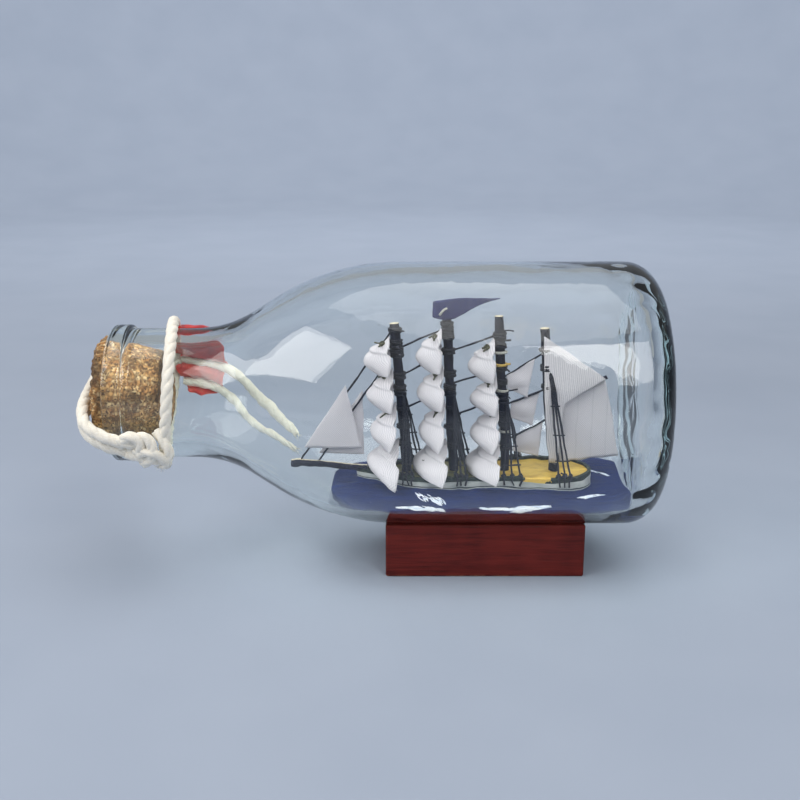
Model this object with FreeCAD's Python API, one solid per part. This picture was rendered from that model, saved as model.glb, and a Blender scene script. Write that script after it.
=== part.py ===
import FreeCAD, Part
import math
import os
from FreeCAD import Vector

# A small four-masted ship in a bottle that lies on a wooden stand. Millimetres.
# Origin: centre of the stand's underside. +X runs from the bow to the bottle's base,
# +Y to starboard, +Z up.

# ---- bottle -------------------------------------------------------------------
BODY_RADIUS = 29.3
NECK_RADIUS = 14.5
LIP_RADIUS = 15.3
BORE_RADIUS = 11.35
BODY_WALL = 2.0
BASE_WALL = 3.2
MOUTH_X = -82.5
BASE_X = 37.5
SHOULDER_END_X = -18.8
SHOULDER_RADIUS = 53.0
SHOULDER_SLOPE = math.radians(32.0)
THROAT_RADIUS = 25.0
BASE_CORNER = 7.0
LIP_LENGTH = 4.0
LIP_ROUNDING = 0.7
PUNT_DEPTH = 1.1
PUNT_RADIUS = BODY_RADIUS - BASE_CORNER - 1.5

# ---- stand --------------------------------------------------------------------
STAND_LENGTH = 44.4
STAND_WIDTH = 24.0
STAND_HEIGHT = 12.4
STAND_ROUNDING = 0.5
GROOVE_FLOOR = 10.35
GROOVE_PLAY = 0.02
AXIS_Z = GROOVE_FLOOR + BODY_RADIUS

# ---- cork, string and wax -----------------------------------------------------
CORK_PLAY = 0.08
CORK_INNER_X = -71.2
CORK_OUTER_X = -85.8
CORK_TIP_RADIUS = 9.3
CORK_HEAD_RADIUS = 12.9
CORK_CHAMFER = 0.9
CORK_HEAD_TAPER = 0.3
CORK_HEAD_GAP = 0.1
CORK_SEAT_LENGTH = 4.0
STRING_RADIUS = 1.25
NECK_RING_X = -70.7
NECK_RING_RADIUS = 16.0
NECK_RING_TILT = Vector(1.0, 0.139, -0.101)
KNOT_CENTRE = (-73.2, -13.0, -9.8)
KNOT_RADIUS = 3.5
WAX_START_X = -72.4
WAX_END_X = -60.0
WAX_THICKNESS = 2.3
WAX_END_SLOPE = 0.6
WAX_LOW_ANGLE = -22.0
WAX_HIGH_ANGLE = 84.0

# Routes of the string, as x, y and height above the bottle's axis.
CORK_LOOP_ROUTE = [
    (-73.5, -13.2, -9.6), (-77.0, -14.2, -9.2), (-81.2, -15.5, -8.0),
    (-85.8, -15.3, -5.2), (-88.2, -9.6, -2.9), (-87.8, -1.9, -1.0),
    (-87.7, 6.0, 0.8), (-87.7, 13.4, 2.1), (-84.3, 16.9, 2.8),
    (-79.7, 17.7, 3.0), (-75.0, 16.7, 2.7), (-70.6, 16.0, 2.4),
]
CORK_LOOP_INNER_ROUTE = [
    (-73.9, -15.6, -6.9), (-77.6, -16.2, -6.6), (-81.4, -16.6, -5.4),
    (-86.5, -15.2, -3.0), (-88.0, -9.8, -0.3), (-87.8, -1.9, 1.9),
    (-87.7, 5.9, 3.7), (-87.7, 12.9, 5.1), (-84.4, 16.5, 5.8),
    (-79.5, 16.9, 6.0), (-75.1, 15.8, 5.7), (-70.8, 15.0, 5.4),
]
UPPER_TAIL_ROUTE = [
    (-71.0, 16.0, 6.2), (-66.0, 16.1, 4.6), (-60.6, 16.5, 2.0),
    (-56.0, 17.6, -2.2), (-52.4, 18.7, -7.4), (-48.6, 19.0, -12.0),
    (-44.8, 18.6, -16.6),
]
LOWER_TAIL_ROUTE = [
    (-70.8, 16.2, -1.2), (-66.3, 16.3, -1.6), (-62.2, 16.5, -3.6),
    (-59.4, 17.4, -8.0), (-56.6, 18.0, -12.2), (-53.0, 18.3, -16.0),
    (-49.2, 18.5, -19.2), (-45.9, 18.6, -22.0),
]

# ---- sea and ship -------------------------------------------------------------
SHIP_Y = 1.5
SEA_LEVEL = AXIS_Z - 21.5
SEA_START_X = -34.5
SEA_END_X = 33.0
SEA_PLAY = 0.02
SEA_CORNER = 9.0
BOW_X = -29.1
STERN_X = 24.9
HULL_HALF_BEAM = 7.0
HULL_HEIGHT = 1.9
# The bow's curve: where the full beam starts, one point on the way there as a length
# and a share of the half beam, how steeply the sides part at the stem, and how far
# an inset outline's stem moves aft for each millimetre of inset.
BOW_LENGTH = 17.0
BOW_MIDDLE = (6.5, 0.55)
BOW_SPREAD = 0.75
BOW_INSET = 2.2
DECK_INSET = 0.9
DECK_THICKNESS = 0.3
RAIL_HEIGHT = 0.9
MAST_RADIUS = 1.05
MAST_STEP_DEPTH = 1.2
BOWSPRIT_RADIUS = 0.85
BOWSPRIT_TIP = (-44.2, -17.7)
BOWSPRIT_HEEL = (-26.7, -18.65)
GAFF_RADIUS = 0.45
GAFF_THROAT = (16.1, -2.6)
GAFF_PEAK = (27.6, 3.4)
DECK_TOP = SEA_LEVEL + HULL_HEIGHT + DECK_THICKNESS
RAIL_TOP = SEA_LEVEL + HULL_HEIGHT + RAIL_HEIGHT

# Foot x on the deck, head x and head height above the bottle's axis.
MASTS = {
    "fore": (-17.3, -20.4, 15.6),
    "main": (-6.6, -8.7, 19.0),
    "mizzen": (5.15, 2.9, 17.0),
    "jigger": (16.5, 13.1, 14.5),
}

# ---- sails --------------------------------------------------------------------
CLOTH = 0.25
SAIL_STEPS = 6
SAIL_TOP_HALF_WIDTH = 1.2
SAIL_TOP_AHEAD = 1.3
SAIL_LAP = 0.8
LEECH_HOLLOW = 0.2
SWELL_LOWNESS = 1.5
CROSS_FULLNESS = 2.3
# Half width, how far the foot's middle and its corners stand ahead of the mast, and
# how far the middle bellies out.
SQUARE_SAILS = {
    "royal": (5.0, 4.9, 2.2, 3.7),
    "topgallant": (6.5, 5.0, 2.4, 3.7),
    "topsail": (8.0, 5.2, 3.2, 3.7),
    "course": (11.0, 8.8, 3.0, 2.2),
}
# Height of the highest sail's head and of each sail's foot above the bottle's axis.
SAIL_HEIGHTS = {
    "fore": (12.7, 4.3, -3.6, -12.2, -17.4),
    "main": (14.4, 4.9, -3.2, -12.6, -18.2),
    "mizzen": (12.1, 2.9, -4.6, -12.6, -18.2),
}
# How far a course's corners drop below the middle of its foot.
COURSE_DROP = {"fore": 3.2, "main": 1.1, "mizzen": 1.1}
# Fore-and-aft sails: corners as x and height above the axis, and the shift from the
# ship's centre plane.
FLAT_SAILS = {
    "outer_jib": ([(-31.0, 1.5), (-40.9, -13.5), (-27.8, -13.4)], -0.6),
    "inner_jib": ([(-27.3, -0.1), (-37.5, -15.2), (-27.4, -15.3)], 0.6),
    "upper_staysail": ([(11.2, 7.6), (5.0, 3.8), (5.1, 0.8), (10.0, -1.5)], -0.2),
    "middle_staysail": ([(12.7, -0.1), (6.2, -2.8), (5.8, -6.5), (11.2, -8.1)], 0.2),
    "lower_staysail": ([(13.7, -7.1), (7.5, -10.5), (6.5, -14.5), (13.0, -16.3)], 0.0),
    "spanker_sail": ([(16.2, -3.2), (27.2, 2.6), (31.6, -15.5), (20.0, -16.7),
                      (17.7, -17.3)], 0.0),
    "gaff_topsail": ([(12.8, 12.9), (27.1, 3.2), (18.2, -2.4), (17.6, -6.0),
                      (17.0, -17.1), (15.1, -17.1)], -1.3),
}
PENNANT = [(-11.4, 20.9), (2.9, 21.4), (-6.2, 16.6), (-11.2, 17.2)]
PENNANT_SHIFT = -1.3

# ---- rigging ------------------------------------------------------------------
THREAD_RADIUS = 0.22
RATLINE_RADIUS = 0.16
RATLINE_REACH = 0.5
CHANNEL_WIDTH = 0.8
CHANNEL_THICKNESS = 0.35
CHANNEL_REACH = 0.6
SHROUD_TOP_AFT = 0.8
SHROUD_TOP_SIDE = 0.75
# Height where the shrouds leave the mast, how far their feet stand out from the
# centre plane, and the x of the feet from the mast's foot, port then starboard.
SHROUDS = {
    "fore": (0.5, 5.3, (-1.0, 0.1, 1.2), (1.2, 2.4, 3.5)),
    "main": (0.0, 6.4, (0.2, 1.3, 2.4), (2.0, 3.0, 3.9)),
    "mizzen": (-1.0, 6.4, (-0.8, 1.1, 3.0), (2.0, 3.0, 4.0)),
    "jigger": (5.8, 6.4, (0.2, 1.6, 2.8), (0.2, 1.6, 2.8)),
}
RATLINE_SHARES = (0.35, 0.62, 0.86)
# Stays as x and height above the axis, forward end first.
STAYS = {
    "fore_stays": [((-42.0, -17.0), (-20.3, 14.9)), ((-37.7, -17.1), (-19.9, 9.7))],
    "main_stays": [((-19.9, 9.7), (-8.5, 14.5)), ((-19.3, 3.4), (-8.1, 9.0)),
                   ((-18.7, -4.3), (-7.6, 0.6))],
    "mizzen_stays": [((-8.1, 9.0), (4.4, 13.6)), ((-7.6, 1.6), (4.0, 5.2)),
                     ((-7.2, -6.0), (4.3, -1.7))],
    "jigger_stays": [((3.8, 3.1), (14.1, 9.4)), ((4.2, -3.6), (14.8, 0.8)),
                     ((4.7, -12.1), (15.5, -6.1))],
}
TIE_RADIUS = 0.42
TIE_AHEAD = 3.1
TIE_DROP = 0.9


def rel(x, y, height):
    """A point whose height is counted from the bottle's axis."""
    return Vector(x, y, AXIS_Z + height)


def revolved(wire):
    """A solid turned about the bottle's axis from a closed half outline."""
    return Part.Face(wire).revolve(rel(0, 0, 0), Vector(1, 0, 0), 360)


def half_outline(profile):
    """A closed wire through (x, radius) points."""
    return Part.makePolygon([rel(x, 0, r) for x, r in profile + profile[:1]])


def shoulder_edges(neck, body, convex, concave, neck_x):
    """Line, throat arc, cone, shoulder arc: the bottle's outline from neck to body."""
    slope = SHOULDER_SLOPE
    cone_top = Vector(SHOULDER_END_X - convex * math.sin(slope), 0,
                      AXIS_Z + body - convex * (1 - math.cos(slope)))
    rise = cone_top.z - AXIS_Z - neck - concave * (1 - math.cos(slope))
    cone_low = cone_top - Vector(rise / math.tan(slope), 0, rise)
    throat_x = cone_low.x - concave * math.sin(slope)
    half = slope / 2
    throat_mid = Vector(throat_x + concave * math.sin(half), 0,
                        AXIS_Z + neck + concave * (1 - math.cos(half)))
    shoulder_mid = Vector(SHOULDER_END_X - convex * math.sin(half), 0,
                          AXIS_Z + body - convex * (1 - math.cos(half)))
    throat_start = Vector(throat_x, 0, AXIS_Z + neck)
    shoulder_end = Vector(SHOULDER_END_X, 0, AXIS_Z + body)
    return [
        Part.LineSegment(Vector(neck_x, 0, AXIS_Z + neck), throat_start).toShape(),
        Part.Arc(throat_start, throat_mid, cone_low).toShape(),
        Part.LineSegment(cone_low, cone_top).toShape(),
        Part.Arc(cone_top, shoulder_mid, shoulder_end).toShape(),
    ]


def side_and_end_edges(body, end_x, corner):
    """Body line, rounded corner and flat end, back down to the axis."""
    corner_start = Vector(end_x - corner, 0, AXIS_Z + body)
    corner_end = Vector(end_x, 0, AXIS_Z + body - corner)
    lift = corner * math.sin(math.pi / 4)
    corner_mid = Vector(end_x - corner + lift, 0, AXIS_Z + body - corner + lift)
    return [
        Part.LineSegment(Vector(SHOULDER_END_X, 0, AXIS_Z + body), corner_start).toShape(),
        Part.Arc(corner_start, corner_mid, corner_end).toShape(),
        Part.LineSegment(corner_end, Vector(end_x, 0, AXIS_Z)).toShape(),
    ]


def bottle_volume(start_x, neck, body, convex, concave, end_x, corner):
    """The solid inside one skin of the bottle, from start_x to end_x."""
    edges = shoulder_edges(neck, body, convex, concave, start_x)
    edges += side_and_end_edges(body, end_x, corner)
    edges.append(Part.LineSegment(Vector(end_x, 0, AXIS_Z),
                                  Vector(start_x, 0, AXIS_Z)).toShape())
    edges.append(Part.LineSegment(Vector(start_x, 0, AXIS_Z),
                                  Vector(start_x, 0, AXIS_Z + neck)).toShape())
    return revolved(Part.Wire(edges))


def outer_volume():
    return bottle_volume(MOUTH_X, NECK_RADIUS, BODY_RADIUS, SHOULDER_RADIUS,
                         THROAT_RADIUS, BASE_X, BASE_CORNER)


def inner_volume(play=0.0):
    return bottle_volume(MOUTH_X - 1.0, BORE_RADIUS - play, BODY_RADIUS - BODY_WALL - play,
                         SHOULDER_RADIUS - BODY_WALL - play,
                         THROAT_RADIUS + NECK_RADIUS - BORE_RADIUS + play,
                         BASE_X - BASE_WALL - play, BASE_CORNER - BODY_WALL)


def make_bottle():
    """Clear glass: a tapered shoulder, a short neck with a rolled lip, a dished base."""
    lip = Part.makeCylinder(LIP_RADIUS, LIP_LENGTH, rel(MOUTH_X, 0, 0), Vector(1, 0, 0))
    rims = [e for e in lip.Edges if isinstance(e.Curve, Part.Circle)]
    lip = lip.makeFillet(LIP_ROUNDING, rims)
    blank = outer_volume().fuse(lip).removeSplitter()
    dish_radius = (PUNT_RADIUS ** 2 + PUNT_DEPTH ** 2) / (2 * PUNT_DEPTH)
    dish = Part.makeSphere(dish_radius, rel(BASE_X - PUNT_DEPTH + dish_radius, 0, 0))
    return blank.cut(dish).cut(inner_volume())


def make_stand():
    """A wooden block with a round groove that the bottle is glued into."""
    block = Part.makeBox(STAND_LENGTH, STAND_WIDTH, STAND_HEIGHT,
                         Vector(-STAND_LENGTH / 2, -STAND_WIDTH / 2, 0))
    block = block.makeFillet(STAND_ROUNDING, block.Edges)
    groove = Part.makeCylinder(BODY_RADIUS + GROOVE_PLAY, STAND_LENGTH + 2,
                               rel(-STAND_LENGTH / 2 - 1, 0, 0), Vector(1, 0, 0))
    return block.cut(groove)


def make_cork():
    """A tapered stopper with a wider head that stands out of the mouth."""
    seat = BORE_RADIUS - CORK_PLAY
    head_end = MOUTH_X - CORK_HEAD_GAP
    return revolved(half_outline([
        (CORK_OUTER_X, 0),
        (CORK_OUTER_X, CORK_HEAD_RADIUS - CORK_CHAMFER),
        (CORK_OUTER_X + CORK_CHAMFER, CORK_HEAD_RADIUS),
        (head_end - CORK_HEAD_TAPER, CORK_HEAD_RADIUS - CORK_HEAD_TAPER),
        (head_end, CORK_HEAD_RADIUS - CORK_CHAMFER),
        (head_end, seat),
        (MOUTH_X + CORK_SEAT_LENGTH, seat),
        (CORK_INNER_X, CORK_TIP_RADIUS),
        (CORK_INNER_X, 0),
    ]))


def string_tube(name, route):
    """A tube along straight runs that are joined by tangent arcs."""
    points = [rel(*p) for p in route]
    runs = [(b - a).Length for a, b in zip(points, points[1:])]
    edges = []
    radii = []
    # Each arc takes almost half of the shorter run beside it, so the bends are gentle.
    arc_share = 0.45
    last = points[0]
    for i in range(1, len(points) - 1):
        before = (points[i] - points[i - 1]).normalize()
        after = (points[i + 1] - points[i]).normalize()
        turn = before.getAngle(after)
        setback = arc_share * min(runs[i - 1], runs[i])
        radii.append(setback / math.tan(turn / 2))
        start = points[i] - before * setback
        end = points[i] + after * setback
        inward = (after - before).normalize()
        centre = points[i] + inward * (radii[-1] / math.cos(turn / 2))
        edges.append(Part.LineSegment(last, start).toShape())
        edges.append(Part.Arc(start, centre - inward * radii[-1], end).toShape())
        last = end
    edges.append(Part.LineSegment(last, points[-1]).toShape())
    path = Part.Wire(edges)
    outline = Part.Circle(points[0], points[1] - points[0], STRING_RADIUS)
    tube = path.makePipeShell([Part.Wire(outline.toShape())], True, True)
    expected = math.pi * STRING_RADIUS ** 2 * path.Length
    print(name, "length %.1f" % path.Length, "radii", ["%.1f" % r for r in radii],
          "volume share %.3f" % (tube.Volume / expected))
    return tube


def make_neck_string():
    """The string's turn round the neck, which slants a little."""
    return Part.makeTorus(NECK_RING_RADIUS, STRING_RADIUS, rel(NECK_RING_X, 0, 0),
                          NECK_RING_TILT)


def make_knot():
    """The knot at the front of the neck, where the turn and the cork's loop meet."""
    knot = Part.makeSphere(KNOT_RADIUS, rel(*KNOT_CENTRE))
    neck = Part.makeCylinder(NECK_RADIUS, 4 * KNOT_RADIUS,
                             rel(KNOT_CENTRE[0] - 2 * KNOT_RADIUS, 0, 0), Vector(1, 0, 0))
    return knot.cut(neck)


def make_wax():
    """A seal of wax over the string's ends on the back of the neck."""
    top = NECK_RADIUS + WAX_THICKNESS
    section = half_outline([
        (WAX_START_X, NECK_RADIUS),
        (WAX_END_X, NECK_RADIUS),
        (WAX_END_X - WAX_END_SLOPE, top),
        (WAX_START_X + WAX_END_SLOPE, top),
    ])
    seal = Part.Face(section).revolve(rel(0, 0, 0), Vector(1, 0, 0),
                                      -(WAX_HIGH_ANGLE - WAX_LOW_ANGLE))
    seal.rotate(rel(0, 0, 0), Vector(1, 0, 0), -(90 - WAX_HIGH_ANGLE))
    return seal.cut(outer_volume())


def make_sea():
    """Putty laid in the bottle up to the water line, with a rounded bow end."""
    depth = BODY_RADIUS
    half = math.sqrt((BODY_RADIUS - BODY_WALL) ** 2 - (AXIS_Z - SEA_LEVEL) ** 2)
    block = Part.makeBox(SEA_END_X - SEA_START_X, 2 * half + 2, depth,
                         Vector(SEA_START_X, -half - 1, SEA_LEVEL - depth))
    uprights = [e for e in block.Edges
                if abs(e.tangentAt(e.FirstParameter).z) > 0.9 and e.CenterOfMass.x < 0]
    block = block.makeFillet(SEA_CORNER, uprights)
    return block.common(inner_volume(SEA_PLAY))


def hull_outline(inset, z):
    """Plan of the hull: a pointed bow, parallel sides and a rounded stern."""
    beam = HULL_HALF_BEAM - inset
    bow = BOW_X + BOW_INSET * inset
    round_start = STERN_X - HULL_HALF_BEAM
    shoulder_x = BOW_X + BOW_LENGTH
    middle = Vector(bow + BOW_MIDDLE[0], BOW_MIDDLE[1] * beam, 0)
    curve = Part.BSplineCurve()
    curve.interpolate([Vector(bow, 0, 0), middle, Vector(shoulder_x, beam, 0)],
                      InitialTangent=Vector(1, BOW_SPREAD, 0), FinalTangent=Vector(1, 0, 0))
    side = Part.LineSegment(Vector(shoulder_x, beam, 0), Vector(round_start, beam, 0))
    stern = Part.Arc(Vector(round_start, beam, 0), Vector(STERN_X - inset, 0, 0),
                     Vector(round_start, -beam, 0))
    starboard_edges = [curve.toShape(), side.toShape()]
    port_edges = [e.mirror(Vector(0, 0, 0), Vector(0, 1, 0)) for e in starboard_edges]
    wire = Part.Wire(Part.sortEdges(starboard_edges + [stern.toShape()] + port_edges)[0])
    face = Part.Face(wire)
    face.translate(Vector(0, SHIP_Y, z))
    return face


def mast_x(name, height):
    """x of a mast's centre line at a height above the bottle's axis."""
    foot, head, head_height = MASTS[name]
    foot_height = DECK_TOP - AXIS_Z
    return foot + (head - foot) * (height - foot_height) / (head_height - foot_height)


def rod(a, b, radius):
    return Part.makeCylinder(radius, (b - a).Length, a, b - a)


def spar(start, end, radius):
    """A round bar on the centre plane between two points as x and height."""
    return rod(rel(start[0], SHIP_Y, start[1]), rel(end[0], SHIP_Y, end[1]), radius)


def make_mast(name):
    head_height = MASTS[name][2]
    foot_height = DECK_TOP - MAST_STEP_DEPTH - AXIS_Z
    return spar((mast_x(name, foot_height), foot_height),
                (mast_x(name, head_height), head_height), MAST_RADIUS)


def shroud_feet(name, side):
    """Where the shrouds of one mast and side end, on top of the channel."""
    half_width, port, starboard = SHROUDS[name][1:]
    return [Vector(MASTS[name][0] + dx, SHIP_Y + side * half_width,
                   RAIL_TOP + CHANNEL_THICKNESS / 2)
            for dx in (port if side < 0 else starboard)]


def make_channels(name):
    """The two narrow boards on the rail that one mast's shrouds are fixed to."""
    boards = []
    for side in (-1, 1):
        feet = shroud_feet(name, side)
        length = feet[-1].x - feet[0].x + 2 * CHANNEL_REACH
        corner = Vector(feet[0].x - CHANNEL_REACH, feet[0].y - CHANNEL_WIDTH / 2, RAIL_TOP)
        boards.append(Part.makeBox(length, CHANNEL_WIDTH, CHANNEL_THICKNESS, corner))
    return Part.makeCompound(boards)


def make_shrouds(name, side):
    """Three shrouds from the mast to the channel, crossed by short ratlines."""
    top_height = SHROUDS[name][0]
    top = rel(mast_x(name, top_height) + SHROUD_TOP_AFT, SHIP_Y + side * SHROUD_TOP_SIDE,
              top_height)
    feet = shroud_feet(name, side)
    lines = [rod(top, foot, THREAD_RADIUS) for foot in feet]
    for share in RATLINE_SHARES:
        low = top + (feet[0] - top) * share
        high = top + (feet[-1] - top) * share
        along = (high - low).normalize() * RATLINE_REACH
        lines.append(rod(low - along, high + along, RATLINE_RADIUS))
    return lines[0].fuse(lines[1:])


def square_sail_point(mast, sail, head, foot, u, v):
    """A point on a bellied square sail; u runs across it and v down it."""
    half_width, foot_ahead, corner_ahead, bulge = SQUARE_SAILS[sail]
    drop = COURSE_DROP[mast] if sail == "course" else 0.0
    half = SAIL_TOP_HALF_WIDTH + (half_width - SAIL_TOP_HALF_WIDTH) * math.sin(v * math.pi / 2)
    swell = math.sin(v ** SWELL_LOWNESS * math.pi)
    middle = SAIL_TOP_AHEAD + (foot_ahead - SAIL_TOP_AHEAD) * v + bulge * swell
    leech = SAIL_TOP_AHEAD + (corner_ahead - SAIL_TOP_AHEAD) * v * v - LEECH_HOLLOW * swell
    outward = abs(u) ** CROSS_FULLNESS
    ahead = leech + (middle - leech) * (1 - outward)
    height = head + (foot - head) * v - drop * outward * v
    return rel(mast_x(mast, height) - ahead - CLOTH / 2, SHIP_Y + u * half, height)


def make_square_sail(mast, sail, head, foot):
    shares = [i / SAIL_STEPS for i in range(SAIL_STEPS + 1)]
    grid = [[square_sail_point(mast, sail, head, foot, 2 * across - 1, down)
             for down in shares] for across in shares]
    surface = Part.BSplineSurface()
    surface.interpolate(grid)
    return surface.toShape().extrude(Vector(CLOTH, 0, 0))


def flat_cloth(corners, shift):
    """A flat sail or flag in the ship's fore-and-aft plane."""
    points = [rel(x, SHIP_Y + shift - CLOTH / 2, h) for x, h in corners + corners[:1]]
    return Part.Face(Part.makePolygon(points)).extrude(Vector(0, CLOTH, 0))


def make_ties(mast):
    """The knots that gather each sail's head to the mast."""
    knots = []
    for height in SAIL_HEIGHTS[mast][1:4]:
        centre = rel(mast_x(mast, height) - TIE_AHEAD, SHIP_Y, height - TIE_DROP)
        knots.append(Part.makeSphere(TIE_RADIUS, centre))
    return Part.makeCompound(knots)


parts = {
    "bottle": make_bottle(),
    "cork_stopper": make_cork(),
    "stand_block": make_stand(),
    "sea_base": make_sea(),
    "wax_seal": make_wax(),
    "neck_string": make_neck_string(),
    "string_knot": make_knot(),
    "cork_loop": string_tube("cork_loop", CORK_LOOP_ROUTE),
    "cork_loop_inner": string_tube("cork_loop_inner", CORK_LOOP_INNER_ROUTE),
    "string_tail_upper": string_tube("string_tail_upper", UPPER_TAIL_ROUTE),
    "string_tail_lower": string_tube("string_tail_lower", LOWER_TAIL_ROUTE),
}

bowsprit = spar(BOWSPRIT_TIP, BOWSPRIT_HEEL, BOWSPRIT_RADIUS)
masts = {name: make_mast(name) for name in MASTS}
sunk = list(masts.values()) + [bowsprit]
hull = hull_outline(0, SEA_LEVEL).extrude(Vector(0, 0, HULL_HEIGHT))
deck_z = SEA_LEVEL + HULL_HEIGHT
deck = hull_outline(DECK_INSET, deck_z).extrude(Vector(0, 0, DECK_THICKNESS))
rail = hull_outline(0, deck_z).cut(hull_outline(DECK_INSET, deck_z))
rail = rail.extrude(Vector(0, 0, RAIL_HEIGHT))
parts["hull"] = hull.cut(sunk)
parts["deck"] = deck.cut(sunk)
parts["hull_rail"] = rail.cut(bowsprit)
parts["bowsprit"] = bowsprit
parts["gaff"] = spar(GAFF_THROAT, GAFF_PEAK, GAFF_RADIUS)
for name, mast in masts.items():
    parts[name + "_mast"] = mast
    parts[name + "_channels"] = make_channels(name)
    parts[name + "_shrouds_port"] = make_shrouds(name, -1)
    parts[name + "_shrouds_starboard"] = make_shrouds(name, 1)

for mast, heights in SAIL_HEIGHTS.items():
    for i, sail in enumerate(SQUARE_SAILS):
        head = heights[i] + (SAIL_LAP if i else 0)
        parts[mast + "_" + sail] = make_square_sail(mast, sail, head, heights[i + 1])
    parts[mast + "_sail_ties"] = make_ties(mast)

for name, (corners, shift) in FLAT_SAILS.items():
    parts[name] = flat_cloth(corners, shift)
parts["pennant"] = flat_cloth(PENNANT, PENNANT_SHIFT)

for name, lines in STAYS.items():
    parts[name] = Part.makeCompound([spar(a, b, THREAD_RADIUS) for a, b in lines])

os.makedirs("parts", exist_ok=True)
for name, shape in parts.items():
    shape.exportStep("parts/" + name + ".step")
print(len(parts), "nodes")
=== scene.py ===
import bmesh
import bpy
import math
import random
from mathutils import Matrix, Vector, noise


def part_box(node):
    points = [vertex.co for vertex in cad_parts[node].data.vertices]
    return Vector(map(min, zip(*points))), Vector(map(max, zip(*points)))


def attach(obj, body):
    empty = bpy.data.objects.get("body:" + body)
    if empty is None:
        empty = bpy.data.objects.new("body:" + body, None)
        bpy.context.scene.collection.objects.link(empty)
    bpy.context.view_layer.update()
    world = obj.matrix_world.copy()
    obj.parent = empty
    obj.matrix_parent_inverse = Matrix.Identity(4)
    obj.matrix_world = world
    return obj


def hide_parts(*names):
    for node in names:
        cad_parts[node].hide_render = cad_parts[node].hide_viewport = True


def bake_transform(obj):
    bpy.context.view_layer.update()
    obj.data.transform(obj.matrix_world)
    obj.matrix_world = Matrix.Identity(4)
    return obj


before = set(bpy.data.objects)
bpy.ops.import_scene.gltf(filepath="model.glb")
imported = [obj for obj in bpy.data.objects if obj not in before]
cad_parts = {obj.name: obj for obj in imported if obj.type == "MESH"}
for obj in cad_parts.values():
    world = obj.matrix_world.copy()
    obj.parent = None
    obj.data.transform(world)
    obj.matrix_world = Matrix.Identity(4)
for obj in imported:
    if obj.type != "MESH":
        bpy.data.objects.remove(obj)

# A four-masted ship in a bottle on a wooden stand. Lengths are in millimetres in the
# model's own frame, and MM turns them into metres where a mesh, camera or light is made.
MM = 0.001
QUARTER = math.pi / 2
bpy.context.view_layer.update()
SCENE = bpy.context.scene


def box_mm(node):
    low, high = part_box(node)
    return Vector(low) / MM, Vector(high) / MM


# ---- sizes that come from the model ----
BOTTLE_LOW, BOTTLE_HIGH = box_mm("bottle")
AXIS_Z = (BOTTLE_LOW.z + BOTTLE_HIGH.z) / 2
BODY_RADIUS = (BOTTLE_HIGH.z - BOTTLE_LOW.z) / 2
MOUTH_X = BOTTLE_LOW.x
BASE_X = BOTTLE_HIGH.x
SEA_LOW, SEA_HIGH = box_mm("sea_base")
SEA_LEVEL = SEA_HIGH.z
HULL_LOW, HULL_HIGH = box_mm("hull")
DECK_TOP = box_mm("deck")[1].z
RAIL_TOP = box_mm("hull_rail")[1].z
SHIP_Y = (HULL_LOW.y + HULL_HIGH.y) / 2

# ---- sizes repeated from the model's source ----
NECK_RADIUS = 14.5
LIP_RADIUS = 15.3
LIP_LENGTH = 4.0
LIP_ROUND = 0.7
BORE_RADIUS = 11.35
BODY_WALL = 2.0
BASE_WALL = 3.2
SHOULDER_END_X = -18.8
SHOULDER_RADIUS = 53.0
SHOULDER_SLOPE = math.radians(32.0)
THROAT_RADIUS = 25.0
BASE_CORNER = 7.0
PUNT_DEPTH = 1.1
PUNT_RIM = BODY_RADIUS - BASE_CORNER - 1.5
CORK_OUTER_X = -85.8
CORK_INNER_X = -71.2
CORK_HEAD_RADIUS = 12.9
CORK_TIP_RADIUS = 9.3
CORK_SEAT_RADIUS = BORE_RADIUS - 0.08
STRING_RADIUS = 1.25
MAST_RADIUS = 1.05
THREAD_RADIUS = 0.22

# Routes of the string, as x, y and height above the bottle's axis.
CORK_LOOP_ROUTE = [
    (-73.5, -13.2, -9.6), (-77.0, -14.2, -9.2), (-81.2, -15.5, -8.0),
    (-85.8, -15.3, -5.2), (-88.2, -9.6, -2.9), (-87.8, -1.9, -1.0),
    (-87.7, 6.0, 0.8), (-87.7, 13.4, 2.1), (-84.3, 16.9, 2.8),
    (-79.7, 17.7, 3.0), (-75.0, 16.7, 2.7), (-70.6, 16.0, 2.4),
]
CORK_LOOP_INNER_ROUTE = [
    (-73.9, -15.6, -6.9), (-77.6, -16.2, -6.6), (-81.4, -16.6, -5.4),
    (-86.5, -15.2, -3.0), (-88.0, -9.8, -0.3), (-87.8, -1.9, 1.9),
    (-87.7, 5.9, 3.7), (-87.7, 12.9, 5.1), (-84.4, 16.5, 5.8),
    (-79.5, 16.9, 6.0), (-75.1, 15.8, 5.7), (-70.8, 15.0, 5.4),
]
UPPER_TAIL_ROUTE = [
    (-71.0, 16.0, 6.2), (-66.0, 16.1, 4.6), (-60.6, 16.5, 2.0),
    (-56.0, 17.6, -2.2), (-52.4, 18.7, -7.4), (-48.6, 19.0, -12.0),
    (-44.8, 18.6, -16.6),
]
LOWER_TAIL_ROUTE = [
    (-70.8, 16.2, -1.2), (-66.3, 16.3, -1.6), (-62.2, 16.5, -3.6),
    (-59.4, 17.4, -8.0), (-56.6, 18.0, -12.2), (-53.0, 18.3, -16.0),
    (-49.2, 18.5, -19.2), (-45.9, 18.6, -22.0),
]
# Foot x on the deck, head x and head height above the bottle's axis.
MASTS = {
    "fore": (-17.3, -20.4, 15.6),
    "main": (-6.6, -8.7, 19.0),
    "mizzen": (5.15, 2.9, 17.0),
    "jigger": (16.5, 13.1, 14.5),
}


def rel(x, y, height):
    """A point whose height is counted from the bottle's axis."""
    return Vector((x, y, AXIS_Z + height))


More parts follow.
